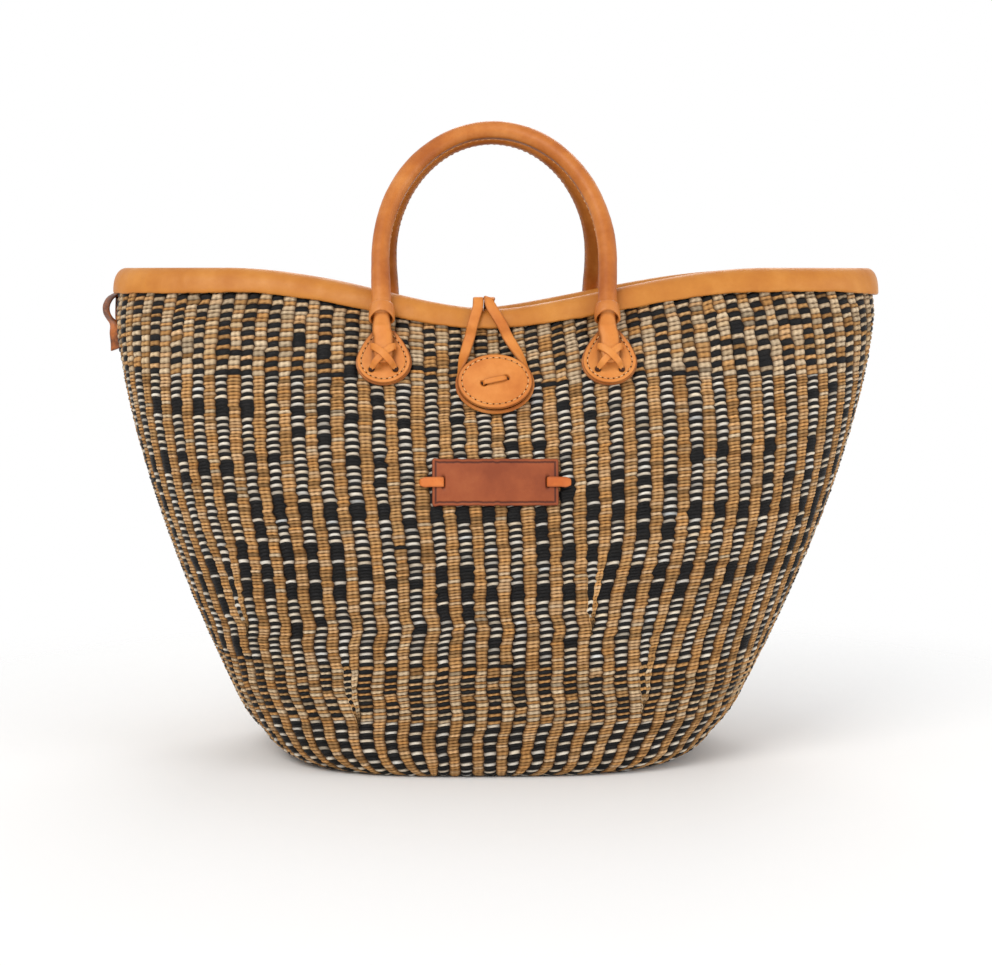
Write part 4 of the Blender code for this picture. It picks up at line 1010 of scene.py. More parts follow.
def makeWeave():
    # the wall in eight pieces, the base in one and the inside in two
    ribs, baseRows = weave["ribs"], weave["baseRows"]
    wallGrid = weaveGrid(*weave["wallPoints"], (baseRows, rowCount))
    sectors = "rightBack backRight backLeft leftBack leftFront frontLeft frontRight rightFront".split()
    each = ribs // len(sectors)
    faces = []
    for k, sector in enumerate(sectors):
        faces.append(weavePiece(f"weave_{sector}", wallGrid, k * each, (k + 1) * each))
    baseGrid = weaveGrid(*weave["basePoints"], (0, baseRows))
    faces.append(weavePiece("weave_base", baseGrid, 0, ribs))
    innerGrid = weaveGrid(*weave["insidePoints"], (0, rowCount), True)
    faces.append(weavePiece("weave_insideBack", innerGrid, 0, ribs // 2, True))
    faces.append(weavePiece("weave_insideFront", innerGrid, ribs // 2, ribs, True))
    print("Weave", sum(faces), "faces")


makeWeave()


# Rim binding

binding = {
    "columns": 560,
    "height": 0.0175,
    "lift": 0.0040,         # how far its section stands off the wall
    "bellyDrop": 0.009,     # where its plumpness drifts most, and how far up and down from there
    "bellyReach": 0.0085,
    "thinner": 0.19,        # share of its height that it loses in the middle
    "thinnerReach": 0.07,
    "plumpNoise": 0.00035,
    "edgeNoise": 0.00045,
    "edgeFrom": 0.006,      # drop from which its lower edge drifts, and over how much that sets in
    "edgeReach": 0.011,
}
# Section as lift off the outer wall and drop below the top edge, before its corners are rounded
bindingSection = np.array([
    (0.0004, -0.0160), (0.0009, -0.0176), (0.0030, -0.0176), (0.0037, -0.0145), (0.0040, -0.0090),
    (0.0031, -0.0044), (0.0007, -0.0009), (-0.0028, 0.0008), (-0.0064, -0.0005), (-0.0086, -0.0042),
    (-0.0090, -0.0090), (-0.0088, -0.0150), (-0.0080, -0.0177), (-0.0060, -0.0177), (-0.0054, -0.0160),
    (-0.0054, -0.0030), (0.0004, -0.0030),
])


def makeBinding():
    # the rounded section carried round the rim; its drop shrinks at the dips and its plumpness drifts
    columns = binding["columns"]
    ringAt = np.linspace(0, 1, weave["spots"])
    turn = np.interp(np.linspace(0, 1, columns, endpoint=False), ringAt, angles[-1])
    across, along = plan(turn)
    x = basket["widestHalfWidth"] * across
    top = rimLine(x, along > 0)
    slant = wallNormal(x, halfDepth(top) * np.where(np.abs(along) < 1e-6, 1e-6, along), top)[:, 2]
    shorter = 1 - binding["thinner"] * np.exp(-((x / binding["thinnerReach"]) ** 2))
    drift = spread(chance.standard_normal(columns), 15)
    edge = spread(chance.standard_normal(columns), 23)
    lift, drop = rounded(bindingSection, 2).T
    low = smooth((-drop - binding["edgeFrom"]) / binding["edgeReach"])
    belly = np.clip(1 - ((drop + binding["bellyDrop"]) / binding["bellyReach"]) ** 2, 0, 1)
    belly = belly * np.sign(lift + basket["wall"] / 2)
    down = drop * shorter[:, None] + edge[:, None] * low * binding["edgeNoise"]
    out = lift + belly * drift[:, None] * binding["plumpNoise"]
    z = top[:, None] + down * np.sqrt(1 - slant[:, None] ** 2)
    made = skin("rimBinding", swayed(onWall(turn[:, None], z, out)), rimLeather, True)
    dressed(made, "rim_leather", "basket", "rim_binding")


makeBinding()
print("Binding ready")


# Handles: rolled covers, collars and tongues

handle = {
    "fold": (0.0, -0.08985, 0.28051),
    "lean": 29.6,
    "footX": 0.0691,
    "footDrop": 0.0262,     # how far below the rim the fold lies
    "halfSpread": 0.0706,
    "rise": 0.093,
    "leg": 0.049,
    "offset": 0.001791,     # centre line outward of the fold
    "radius": 0.0058,
    "start": 0.0070,
    "coreRadius": 0.0040,
    "coreStart": 0.0145,
    "around": 32,
    "drift": 0.00007,       # how much the radius wanders, and how much the roll is squashed
    "squash": 0.0001,
    "seamDepth": 0.0006,
    "seamWidth": 0.10,
    "seamBurn": 0.7,
    "seamBurnWidth": 0.2,
    "seamTurn": 0.12,       # how far seam, lip and stitches are turned from the roll's inner side
    "lipHeight": 0.00022,
    "lipTurn": -0.16,
    "lipWidth": 0.18,
    "stitchTurn": 0.42,
    "stitchPitch": 0.0046,
    "stitchStart": 0.012,
}
thread = {"length": 0.0024, "radius": 0.00024}
footHeight = float(rimTop(handle["footX"])) - handle["footDrop"]
tiltAngle = math.radians(handle["lean"])
handleUp = np.array([0, math.sin(tiltAngle), math.cos(tiltAngle)])
handleOut = np.array([0, -math.cos(tiltAngle), math.sin(tiltAngle)])
ends = (("front", False), ("rear", True))
sides = (("left", -1), ("right", 1))


def atHandle(x, up, out):
    # point given along x, up the handle and outward of its fold
    x, up, out = np.broadcast_arrays(np.asarray(x, float), np.asarray(up, float), np.asarray(out, float))
    across = x[..., None] * np.array([1.0, 0, 0])
    return across + np.array(handle["fold"]) + up[..., None] * handleUp + out[..., None] * handleOut


def handleLine(legSteps=26, archSteps=150):
    # straight legs that spread a little, and a half ellipse over them; also the line's normals
    leg, wide = handle["leg"], handle["halfSpread"]
    up = np.linspace(handle["start"], leg, legSteps, endpoint=False)
    legX = handle["footX"] + (wide - handle["footX"]) * smooth(up / leg)
    turn = np.linspace(0, np.pi, archSteps + 1)
    x = np.concatenate([-legX, -wide * np.cos(turn), legX[::-1]])
    high = np.concatenate([up, leg + handle["rise"] * np.sin(turn), up[::-1]])
    along = unit(np.stack([np.gradient(x), np.gradient(high)], -1))
    return x, high, np.stack([-along[:, 1], along[:, 0]], -1)


def rollPoints(x, up, side, radius, turn, rear):
    # circles of this radius round the handle's line
    reach = radius * np.cos(turn)
    out = handle["offset"] + radius * np.sin(turn)
    return mirrored(atHandle(x[:, None] + side[:, :1] * reach, up[:, None] + side[:, 1:] * reach, out), rear)


def makeCore(end, rear):
    # the rope inside, seen only at the collars' mouths
    x, up, side = handleLine(10, 60)
    keep = up > handle["coreStart"]
    points = rollPoints(x[keep], up[keep], side[keep], handle["coreRadius"], evenTurn(12)[None], rear)
    made = skin(f"{end}HandleCore", points, coreLeather)
    dressed(made, "core_leather", f"{end}_handle", f"{end}_handle_core")


def makeCover(end, rear):
    # a tube whose radius drifts a little, with a seam groove along the inner side of the arch
    x, up, side = handleLine()
    turn = evenTurn(handle["around"])[None]
    drift = handle["drift"] * spread(chance.standard_normal(len(x)), 13)[:, None]
    squash = handle["squash"] * spread(chance.standard_normal(len(x)), 25)[:, None] * np.cos(2 * turn)
    fromSeam = turn - np.pi - handle["seamTurn"]
    seam = -handle["seamDepth"] * np.exp(-((fromSeam / handle["seamWidth"]) ** 2))
    lip = handle["lipHeight"] * np.exp(-(((turn - np.pi - handle["lipTurn"]) / handle["lipWidth"]) ** 2))
    radius = handle["radius"] + drift + squash + seam + lip
    made = skin(f"{end}HandleCover", rollPoints(x, up, side, radius, turn, rear), handleLeather)
    burnAndShade = handle["seamBurn"] * np.exp(-((fromSeam / handle["seamBurnWidth"]) ** 2))
    markBurnAndShade(made, burnAndShade + 0 * radius)
    dressed(made, "handle_leather", f"{end}_handle", f"{end}_handle_cover")


def threads(name, centres, along, out, length, radius, look=threadPale, rear=False):
    # stitches as small closed beads: half ellipses carried along, sunk into the leather by a third
    centres, along, out = (mirrored(v, rear) for v in (centres, along, out))
    share = np.array([-1.0, -0.62, 0.0, 0.62, 1.0])
    size = radius * np.array([0.35, 0.85, 1.0, 0.85, 0.35])
    turn = evenTurn(6)[:, None]
    lift = (0.45 - 0.9 * share**2) * radius
    line = centres[:, None] + along[:, None] * (share * length / 2)[:, None] + out[:, None] * lift[:, None]
    side = unit(np.cross(along, out))
    ring = np.cos(turn) * side[:, None] + np.sin(turn) * out[:, None]
    return skins(name, line[:, :, None] + ring[:, None] * size[:, None, None], look)


def makeSeamStitches(end, rear):
    # a row of thread beads along the seam, on the inner side of the roll
    x, up, side = handleLine(60, 400)
    gone = np.concatenate([[0], np.cumsum(np.hypot(np.diff(x), np.diff(up)))])
    goal = np.arange(handle["stitchStart"], gone[-1] - handle["stitchStart"], handle["stitchPitch"])
    x, up, sideX, sideUp = (np.interp(goal, gone, values) for values in (x, up, *side.T))
    turn = np.pi + handle["stitchTurn"]
    reach, out = handle["radius"] * math.cos(turn), handle["radius"] * math.sin(turn)
    centres, far = (
        atHandle(x + sideX * reach * k, up + sideUp * reach * k, handle["offset"] + out * k) for k in (1, 2)
    )
    along = unit(atHandle(x + sideUp, up - sideX, handle["offset"] + out) - centres)
    away = unit(far - centres)
    name = f"{end}HandleStitches"
    made = threads(name, centres, along, away, thread["length"], thread["radius"], rear=rear)
    dressed(made, "handle_leather", f"{end}_handle")


collar = {
    "radius": 0.0074,
    "wide": 0.0081,
    "leather": 0.0012,
    "start": 0.0040,
    "height": 0.0100,
    "archRise": 0.0030,     # how much higher the mouth is at the middle of its front
    "sideDrop": 0.0006,     # how much lower it is at the sides
    "around": 48,
}
# Its section from the inner top edge down, round the lip and up the outside: share of the height, and how
# much of the leather's thickness lies outside the point
collarRise = np.array([1.0, 0.6, 0.25, 0.04, 0.0, 0.0, 0.04, 0.18, 0.4, 0.62, 0.76, 0.83, 0.9, 0.97, 1.0])
collarDepth = np.array([1.0, 1.0, 1.0, 0.9, 0.6, 0.3, 0.08, 0.0, 0.0, 0.0, 0.0, 0.12, 0.0, 0.2, 0.75])
collarSwell = ((0.0, 0.2, 0.45, 0.75, 1.0), (0.85, 1.0, 0.85, 0.35, 0.0))    # how far it flares, by height


def makeCollar(end, name, rear, side):
    # the section swept round the roll, flared sideways
    turn = evenTurn(collar["around"])[:, None]
    front = np.clip(np.sin(turn), 0, 1)
    low = collar["start"] + collar["archRise"] * front**1.5 - collar["sideDrop"] * np.cos(turn) ** 2
    up = low + (collar["start"] + collar["height"] - low) * collarRise
    deep = collar["radius"] - collar["leather"] * collarDepth
    wide = deep + (collar["wide"] - collar["radius"]) * np.interp(collarRise, *collarSwell)
    x = side * handle["footX"] + wide * np.cos(turn)
    points = mirrored(atHandle(x, up, handle["offset"] + deep * np.sin(turn)), rear)
    made = skin(f"{end}_{name}Collar", points, handleLeather, True)
    dressed(made, "handle_leather", f"{end}_handle", f"{end}_{name}_collar")


tongue = {
    "halfWidth": 0.0059,
    "thickness": 0.0042,
    "lift": 0.0055,
    "blendReach": 0.0022,
    "shift": 0.0012,        # feet sit a little to the right of the handle's legs
    "shiftReach": 0.006,
    "stubReach": 0.008,     # length over which the stub moves out to the roll's centre line
    "burnAndShade": 0.6,
    "around": 20,
    "steps": 3,
}
# From the stub inside the collar down the wall: length up the handle and then down from the fold, half width
# and thickness; full width and thickness are 1 from the fold on
stubStops = ((0.0135, 0.0046, 0.0072), (0.0100, 0.0048, 0.0070), (0.0070, 0.0050, 0.0064),
             (0.0042, 0.0053, 0.0054), (0.0018, 0.0057, 0.0046))
wallStops = ((0.0016, 1, 1), (0.0045, 1, 1), (0.0080, 1, 1), (0.0120, 1, 0.98), (0.0160, 0.98, 0.94),
             (0.0190, 0.92, 0.85), (0.0208, 0.78, 0.7), (0.0218, 0.6, 0.5), (0.0224, 0.3, 0.25))


def makeTongue(end, name, rear, side):
    # half-round band down the wall from the fold, and a round stub up into the collar
    x, thick = side * handle["footX"], tongue["thickness"]
    middle = tongue["lift"] + thick / 2
    stubUp, stubHalf, stubDeep = np.array(stubStops).T
    down, half, deep = np.array(wallStops).T
    rise = smooth(stubUp / tongue["stubReach"])
    stub = atHandle(x, stubUp, -thick / 2 + (handle["offset"] + thick / 2) * rise)
    shift = tongue["shift"] * smooth(down / tongue["shiftReach"])
    wall = lay(x + shift, -down, middle, footHeight)
    path = curveThrough(np.concatenate([stub, wall]), tongue["steps"])
    half = np.concatenate([stubHalf, tongue["halfWidth"] * half])
    deep = np.concatenate([stubDeep, thick * deep])
    stops = np.arange(len(half))
    where = np.linspace(0, stops[-1], len(path))
    half, deep = np.interp(where, stops, half)[:, None], np.interp(where, stops, deep)[:, None]
    turn = evenTurn(tongue["around"], 0.5)
    across = bent(np.cos(turn), 0.8)
    high = np.where(np.sin(turn) > 0, bent(np.sin(turn), 0.75), bent(np.sin(turn), 0.4))
    sections = np.stack([across * half, high * deep / 2], -1)
    faces = np.repeat(frontNormal(x, footHeight)[None], len(path), 0)
    made = skin(f"{end}_{name}Tongue", mirrored(carried(path, faces, sections), rear), tabLeather)
    edgesDarkened(made, across, tongue["burnAndShade"])
    fold, reach = lay(x, 0.0, middle, footHeight), handleUp * tongue["blendReach"]
    low, high = (tuple(mirrored(point, rear)) for point in (fold - reach, fold + reach))
    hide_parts(f"{end}_{name}_tongue")
    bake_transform(made)


for end, rear in ends:
    makeCore(end, rear)
    makeCover(end, rear)
    makeSeamStitches(end, rear)
    for name, side in sides:
        makeCollar(end, name, rear, side)
        makeTongue(end, name, rear, side)
print("Handles ready")


# Tabs under the handle feet, and their laces

tab = {
    "halfWidth": 0.0172,
    "bowl": 0.0150,
    "taper": 0.027,
    "taperPower": 1.65,
    "centreDrop": 0.0198,
    "neckTop": 0.0010,
    "backing": 0.0016,
    "leather": 0.0018,
    "step": 0.0008,         # how much smaller the face is than its backing
    "edge": 0.0006,
    "size": 0.0125,         # inset at which its middle starts
    "dish": 0.00045,
    "stitchInset": 0.0027,
    "stitchPitch": 0.0033,
    "tongueShade": 0.6,           # painted shadow of the tongue: how much darker the leather is beside it
    "shadeOff": 0.0006,
    "shadeWidth": 0.0014,
    "shadeFrom": -0.0050,
    "shadeFade": 0.004,
}
tabTop = 2 * gap + tab["backing"] + tab["leather"]
pad = {
    "middle": 0.03,         # share of the outline that its flat middle has
    "around": 120,
    "burnAndShade": 0.75,
    "burnReach": 0.0005,
    "groove": 0.00028,      # depth and width of the groove that the stitches lie in
    "grooveWidth": 0.0004,
    "grooveSteps": (-0.0007, -0.0003, 0, 0.0003, 0.0007),
    "threadShare": 0.6,     # share of the pitch that a stitch covers
    "thread": 0.00036,
    "holeLength": 0.0009,
    "hole": 0.00042,
    "hollow": 0.0019,       # depth at which the painted shade of a hollow is darkest
    # how dark that painted shade gets
    "hollowShade": 0.7,
    "topShare": 0.55,       # share of the highest lift above which hollows sink the leather
}
lace = {
    "width": 0.0045,
    "thickness": 0.0011,
    "neck": 0.0022,
    "holeX": 0.0073,
    "holeDrop": 0.0252,
    "holeLength": 0.0040,
    "holeRadius": 0.0019,
    "floorDrop": 0.0004,
    "hollow": 0.0013,       # how far the leather sinks at its holes, and how wide the slope is
    "hollowFrom": 0.0009,
    "crossDrop": 0.0176,
    "wrapDrop": 0.0118,
}


def evenly(outline, count):
    # closed outline read at equal steps of its length
    closed = np.concatenate([outline, outline[:1]])
    gone = np.concatenate([[0], np.cumsum(np.hypot(*np.diff(closed, axis=0).T))])
    goal = np.linspace(0, gone[-1], count, endpoint=False)
    return np.stack([np.interp(goal, gone, values) for values in closed.T], -1)


def drawnIn(outline, amount):
    # closed outline moved inwards along its own normals
    along = unit(np.roll(outline, -1, 0) - np.roll(outline, 1, 0))
    return outline + amount * np.stack([-along[:, 1], along[:, 0]], -1)


def tabOutline(shrink):
    # half ellipse below, and sides that draw in to the neck by a power of the height
    half, bowl = tab["halfWidth"] - shrink, tab["bowl"] - shrink
    turn = np.linspace(np.pi, 2 * np.pi, 41)
    up = (tab["centreDrop"] + tab["neckTop"] - shrink) * np.arange(1, 21) / 20
    neck = half * (1 - (up / tab["taper"]) ** tab["taperPower"])
    x = np.concatenate([half * np.cos(turn), neck, -neck[::-1]])
    y = np.concatenate([bowl * np.sin(turn), up, up[::-1]])
    return evenly(np.stack([x, y], -1), pad["around"])


def leatherPad(name, outline, levels, z, look, rear=False, x=0.0, hollows=None, tongueShade=None):
    # closed pad on the wall: levels are (inset from the outline, lift), and an inset of None is the middle
    rings = [outline * pad["middle"] if inset is None else drawnIn(outline, inset) for inset, _ in levels]
    across, up = np.stack(rings).transpose(2, 0, 1)
    lifts = np.repeat(np.array([lift for _, lift in levels])[:, None], len(outline), 1)
    # both corners of the cut edge are darker, and the middle between them stays pale
    near = np.array([inset or 1.0 for inset, _ in levels])[:, None]
    burnAndShade = pad["burnAndShade"] * np.exp(-((near / pad["burnReach"]) ** 2)) + 0 * lifts
    if hollows:
        sunk = hollows(across, up)
        lifts = lifts - sunk * (lifts > lifts.max() * pad["topShare"])
        # painted shade: the sunk leather darkens the deeper it sinks
        burnAndShade = burnAndShade + pad["hollowShade"] * sunk / pad["hollow"]
    if tongueShade:
        # painted shadow beside the tongue
        burnAndShade = burnAndShade + tongueShade(across, up)
    made = skin(name, mirrored(lay(x + across, up, lifts, z), rear), look)
    markBurnAndShade(made, np.clip(burnAndShade, 0, 1))
    return made


def padLevels(low, thick, edge, size, steps, dish=0.0, groove=None):
    # from the middle of the underside round the edge to the middle of the top, with rounded edges
    turns = [math.pi / 8 * k for k in range(4)]
    corner = [(edge * (1 - math.sin(turn)), edge * (1 - math.cos(turn))) for turn in turns]
    levels = [(None, low), (size / 2, low)] + [(inset, low + up) for inset, up in corner]
    levels += [(0.0, low + thick / 2)] + [(inset, low + thick - up) for inset, up in corner[::-1]]
    insets = list(np.linspace(edge * 1.6, size * 0.92, steps))
    if groove:
        insets = sorted(insets + [groove + off for off in pad["grooveSteps"]])
    for inset in insets:
        sunk = dish * min(inset / size, 1.0) ** 0.7
        if groove:
            sunk += pad["groove"] * math.exp(-(((inset - groove) / pad["grooveWidth"]) ** 2))
        levels.append((inset, low + thick - sunk))
    return levels + [(None, low + thick - dish)]


def ringStitches(name, outline, inset, pitch, z, lift, rear=False, x=0.0):
    # thread beads round a pad, a set distance inside its edge, with dark beads between them as painted shade
    # in the needle holes
    line = drawnIn(outline, inset)
    count = int(np.hypot(*(np.roll(line, -1, 0) - line).T).sum() / pitch)
    here, ahead = evenly(line, count).T, evenly(line, count * 8)[1::8].T
    place, nextPlace = (lay(x + across, up, lift, z) for across, up in (here, ahead))
    along = unit(nextPlace - place)
    out = frontNormal(place[:, 0], place[:, 2])
    out = unit(out - (out * along).sum(-1, keepdims=True) * along)
    size = pitch * pad["threadShare"]
    beads = threads(f"{name}Thread", place, along, out, size, pad["thread"], rear=rear)
    between = place + along * pitch / 2
    return beads, threads(f"{name}Holes", between, along, out, pad["holeLength"], pad["hole"], holeShade, rear)


def holeFloors(name, x, up, lift, z, length, radius, rear=False):
    # dark floors of a pad's two large holes, painted shade inside them
    place = lay(x, up, lift, z)
    out = frontNormal(place[:, 0], place[:, 2])
    along = unit(np.cross(out, np.array([0, 0, 1.0])))
    return threads(name, place, along, out, length, radius, holeShade, rear)


def tabHollows(x, y):
    # the leather sinks a little round each lace hole, and the pad paints shade in the sink
    away = np.hypot(np.abs(x) - lace["holeX"], y + lace["holeDrop"] - tab["centreDrop"])
    return lace["hollow"] * (1 - smooth((away - lace["hollowFrom"]) / lace["hollow"]))


def tongueShadow(x, y):
    # painted shadow: the leather is darker along both sides of the tongue that lies on it
    off = np.abs(x) - tongue["halfWidth"] - tab["shadeOff"]
    fade = smooth((y - tab["shadeFrom"]) / tab["shadeFade"])
    return tab["tongueShade"] * fade * np.exp(-((off / tab["shadeWidth"]) ** 2))


def makeTab(end, name, rear, side):
    z = float(climb(handle["footX"], footHeight, -tab["centreDrop"]))
    x = side * handle["footX"] + tongue["shift"]
    edge, size, label = tab["edge"], tab["size"], f"{end}_{name}"
    backLevels = padLevels(gap, tab["backing"], edge, size, 3)
    backing = leatherPad(f"{label}TabBacking", tabOutline(0.0), backLevels, z, handleLeather, rear, x)
    dressed(backing, "tab_leather", "basket", f"{label}_tab_backing")
    outline, leather = tabOutline(tab["step"]), tab["leather"]
    levels = padLevels(tabTop - leather, leather, edge, size, 15, tab["dish"], tab["stitchInset"])
    face = leatherPad(f"{label}Tab", outline, levels, z, tabLeather, rear, x, tabHollows, tongueShadow)
    dressed(face, "tab_leather", "basket", f"{label}_tab_face")
    lift = tabTop - shortWay
    holes, low = x + np.array([-1, 1]) * lace["holeX"], lift - lace["floorDrop"]
    size = (lace["holeLength"], lace["holeRadius"])
    floors = holeFloors(f"{label}LaceHoles", holes, -lace["holeDrop"], low, footHeight, *size, rear)
    inset, pitch = tab["stitchInset"], tab["stitchPitch"]
    for piece in (floors, *ringStitches(f"{label}Tab", outline, inset, pitch, z, lift, rear, x)):
        dressed(piece, "tab_leather", "basket")


def laceStops():
    # half of the lace: from the crossing round the tongue to behind it, then its end from the hole up
    clear = gap + lace["thickness"] / 2
    front, behind = tongue["lift"] + tongue["thickness"] + clear, tabTop + clear
    half, back, wide, neck = tongue["halfWidth"], tongue["lift"] - clear, lace["width"], lace["neck"]
    x, hole, cross, wrapUp = lace["holeX"], -lace["holeDrop"], -lace["crossDrop"], -lace["wrapDrop"]
    rise, drop = wrapUp - cross, cross - hole
    far = half + clear + 1.4 * gap
    leanX, leanUp = x / math.hypot(x, drop), -drop / math.hypot(x, drop)
    wrap = [
        (0, cross, front, 0, 0, 1, wide),
        (half * 0.55, cross + rise * 0.5, front - gap, 0.15, 0, 1, wide),
        (half * 0.92 + 1.6 * gap, cross + rise * 0.85, front - clear * 1.4, 0.8, 0, 0.7, wide * 0.92),
        (far, wrapUp, (front + back) / 2, 1, 0, 0, wide * 0.8),
        (far - gap / 2, wrapUp, back + clear, 1, 0, -0.3, wide * 0.8),
        (half * 0.93, wrapUp, behind + gap / 3, 0.6, 0, -0.8, wide * 0.8),
        (half * 0.6, wrapUp, behind, 0, 0, -1, wide * 0.8),
    ]
    dive = [
        (x, hole, tabTop / 2, leanX, leanUp, 0, neck),
        (x, hole, behind, leanX, leanUp, 0.15, neck),
        (x * 0.88, hole + drop * 0.12, tabTop + clear * 3, 0.7 * leanX, 0.7 * leanUp, 0.7, neck * 1.5),
        (x * 0.62, hole + drop * 0.38, front - clear, 0.3 * leanX, 0.3 * leanUp, 1, wide * 0.9),
    ]
    return np.array(wrap, float), np.array(dive, float)


def makeLace(end, name, rear, side):
    # one thong through both holes, crossed over the tongue: the second pass lies on the first
    wrap, dive = laceStops()
    flip = np.array([-1, 1, 1, -1, 1, 1, 1.0])
    step = lace["thickness"] + gap
    raised = wrap * flip
    raised[:, 2] += step * np.maximum(1 - np.arange(len(wrap)) / 2, 0)
    last = dive[::-1].copy()
    last[0, 2] += step * 0.7
    stops = np.concatenate([dive * flip, wrap, raised[::-1], last])
    x = side * handle["footX"] + tongue["shift"]
    label = f"{end}_{name}"
    made = wallStrip(f"{label}Lace", stops, lace["thickness"], footHeight, tabLeather, 5, 0, x, rear)
    dressed(made, "tab_leather", "basket", f"{label}_lace")


for end, rear in ends:
    for name, side in sides:
        makeTab(end, name, rear, side)
        makeLace(end, name, rear, side)
print("Tabs and laces ready")


# Button, closure loop and strap

button = {
    "halfWidth": 0.0218,
    "halfHeight": 0.0163,
    "face": 0.0036,
    "back": 0.0028,
    "edge": 0.0009,
    "overhang": 0.0009,     # how much wider the face is, over the loop
    "backSize": 0.0145,     # insets at which the middles of back and face start
    "faceSize": 0.0150,
    "around": 168,
    "drop": 0.0458,
    "dome": 0.0007,
    "stitchInset": 0.0026,
    "stitchPitch": 0.0037,
    "thongHalfSpan": 0.0068,
    "thongTurn": 12.0,
    "thongWidth": 0.0036,
    "thongThickness": 0.0016,
    "holeRadius": 0.0023,
    "holeDepth": 0.0019,
}
buttonZ = float(rimTop(0)) - button["drop"]
buttonTop = gap + button["back"] + gap + button["face"]
thongAngle = math.radians(button["thongTurn"])
thongX, thongY = (wave(thongAngle) * button["thongHalfSpan"] for wave in (math.cos, math.sin))


def buttonHollows(x, y):
    # how far the leather sinks at its two holes, which the pad also darkens with painted shade
    hole, sunk = button["holeRadius"], 0
    for side in (-1, 1):
        away = np.hypot(x - side * thongX, y - side * thongY)
        sunk = sunk + button["holeDepth"] * (1 - smooth((away - hole * 0.62) / (hole * 0.55)))
    return sunk


def makeButton():
    turn = evenTurn(720)
    oval = np.stack([np.cos(turn), np.sin(turn)], -1)
    size = np.array([button["halfWidth"], button["halfHeight"]])
    back, face, edge, inset = button["back"], button["face"], button["edge"], button["stitchInset"]
    backLine = evenly(oval * (size - edge), pad["around"])
    backLevels = padLevels(gap, back, edge, button["backSize"], 3)
    backing = leatherPad("buttonBack", backLine, backLevels, buttonZ, handleLeather)
    outline = evenly(oval * (size + button["overhang"]), button["around"])
    levels = padLevels(buttonTop - face, face, edge, button["faceSize"], 22, -button["dome"], inset)
    top = leatherPad("buttonFace", outline, levels, buttonZ, tabLeather, hollows=buttonHollows)
    lift, radius = buttonTop + shortWay, button["holeRadius"]
    beads, pits = ringStitches("button", outline, inset, button["stitchPitch"], buttonZ, lift)
    holesX, holesUp = np.array([-thongX, thongX]), np.array([-thongY, thongY])
    low = buttonTop - edge
    floors = holeFloors("buttonHoleFloors", holesX, holesUp, low, buttonZ, radius * 1.9, radius * 0.42)
    dressed(backing, "tab_leather", "button", "button_back")
    dressed(top, "tab_leather", "button", "button_face")
    for piece in (beads, pits, floors):
        dressed(piece, "tab_leather", "button")


def makeThong():
    # over the face from hole to hole, with both ends turned down
    thick, wide = button["thongThickness"], button["thongWidth"]
    top = buttonTop + button["dome"] + gap + thick / 2
    across, up, narrow = math.cos(thongAngle), math.sin(thongAngle), wide * 0.72
    # share of the half span, lift, how far the face looks outward along it and off the wall, and width
    half = [
        (-1.0, buttonTop * 0.72, -1, 0, narrow), (-1.0, buttonTop * 0.9, -1, 0.1, narrow),
        (-0.88, top * 0.975, -0.6, 0.8, narrow * 1.15), (-0.6, top, -0.15, 1, wide),
    ]
    places = half + [(0.0, top * 1.04, 0, 1, wide)] + [(-s, h, -n, r, w) for s, h, n, r, w in half[::-1]]
    stops = [(s * thongX, s * thongY, h, n * across, n * up, r, w) for s, h, n, r, w in places]
    made = wallStrip("buttonThong", stops, thick, buttonZ, tabLeather)
    dressed(made, "tab_leather", "button", "button_thong")


loop = {
    "width": 0.0066,
    "ringWidth": 0.0030,    # what shows of it under the button's face
    "thickness": 0.0020,
    "play": 0.0003,
    "drop": 0.0006,
    "crestX": -0.0063,
    "crestRise": 0.0070,
    "crestBack": 0.0010,
    "crestRun": 0.0040,
    "strandGap": 0.0005,
    "swing": 0.045,
    "rearSwing": 0.014,
    "seam": 0.014,
    "seamDrop": 0.009,
    "turns": 28,
    "blendReach": 0.0022,
    "burnAndShade": 0.4,
}


def crestPoint():
    # the highest place of the strap, over the front rim
    x, top = loop["crestX"], float(rimTop(loop["crestX"]))
    middle = frontPoint(x, top) - frontNormal(x, top) * basket["wall"] / 2
    return np.array([x, middle[1] - loop["crestBack"], top + loop["crestRise"]])


def strandX(side):
    return loop["crestX"] + side * (loop["width"] + loop["strandGap"]) / 2


def loopStops(x, up, lift, across, along, off, width):
    # rows of place, face and width for stops on the wall round the button
    place = lay(x, up, lift, buttonZ)
    normal = frontNormal(place[:, 0], place[:, 2])
    side = np.array([1.0, 0, 0])
    face = across[:, None] * side + along[:, None] * np.cross(normal, side) + off[:, None] * normal
    return np.column_stack([place, face, np.full(len(place), width)])


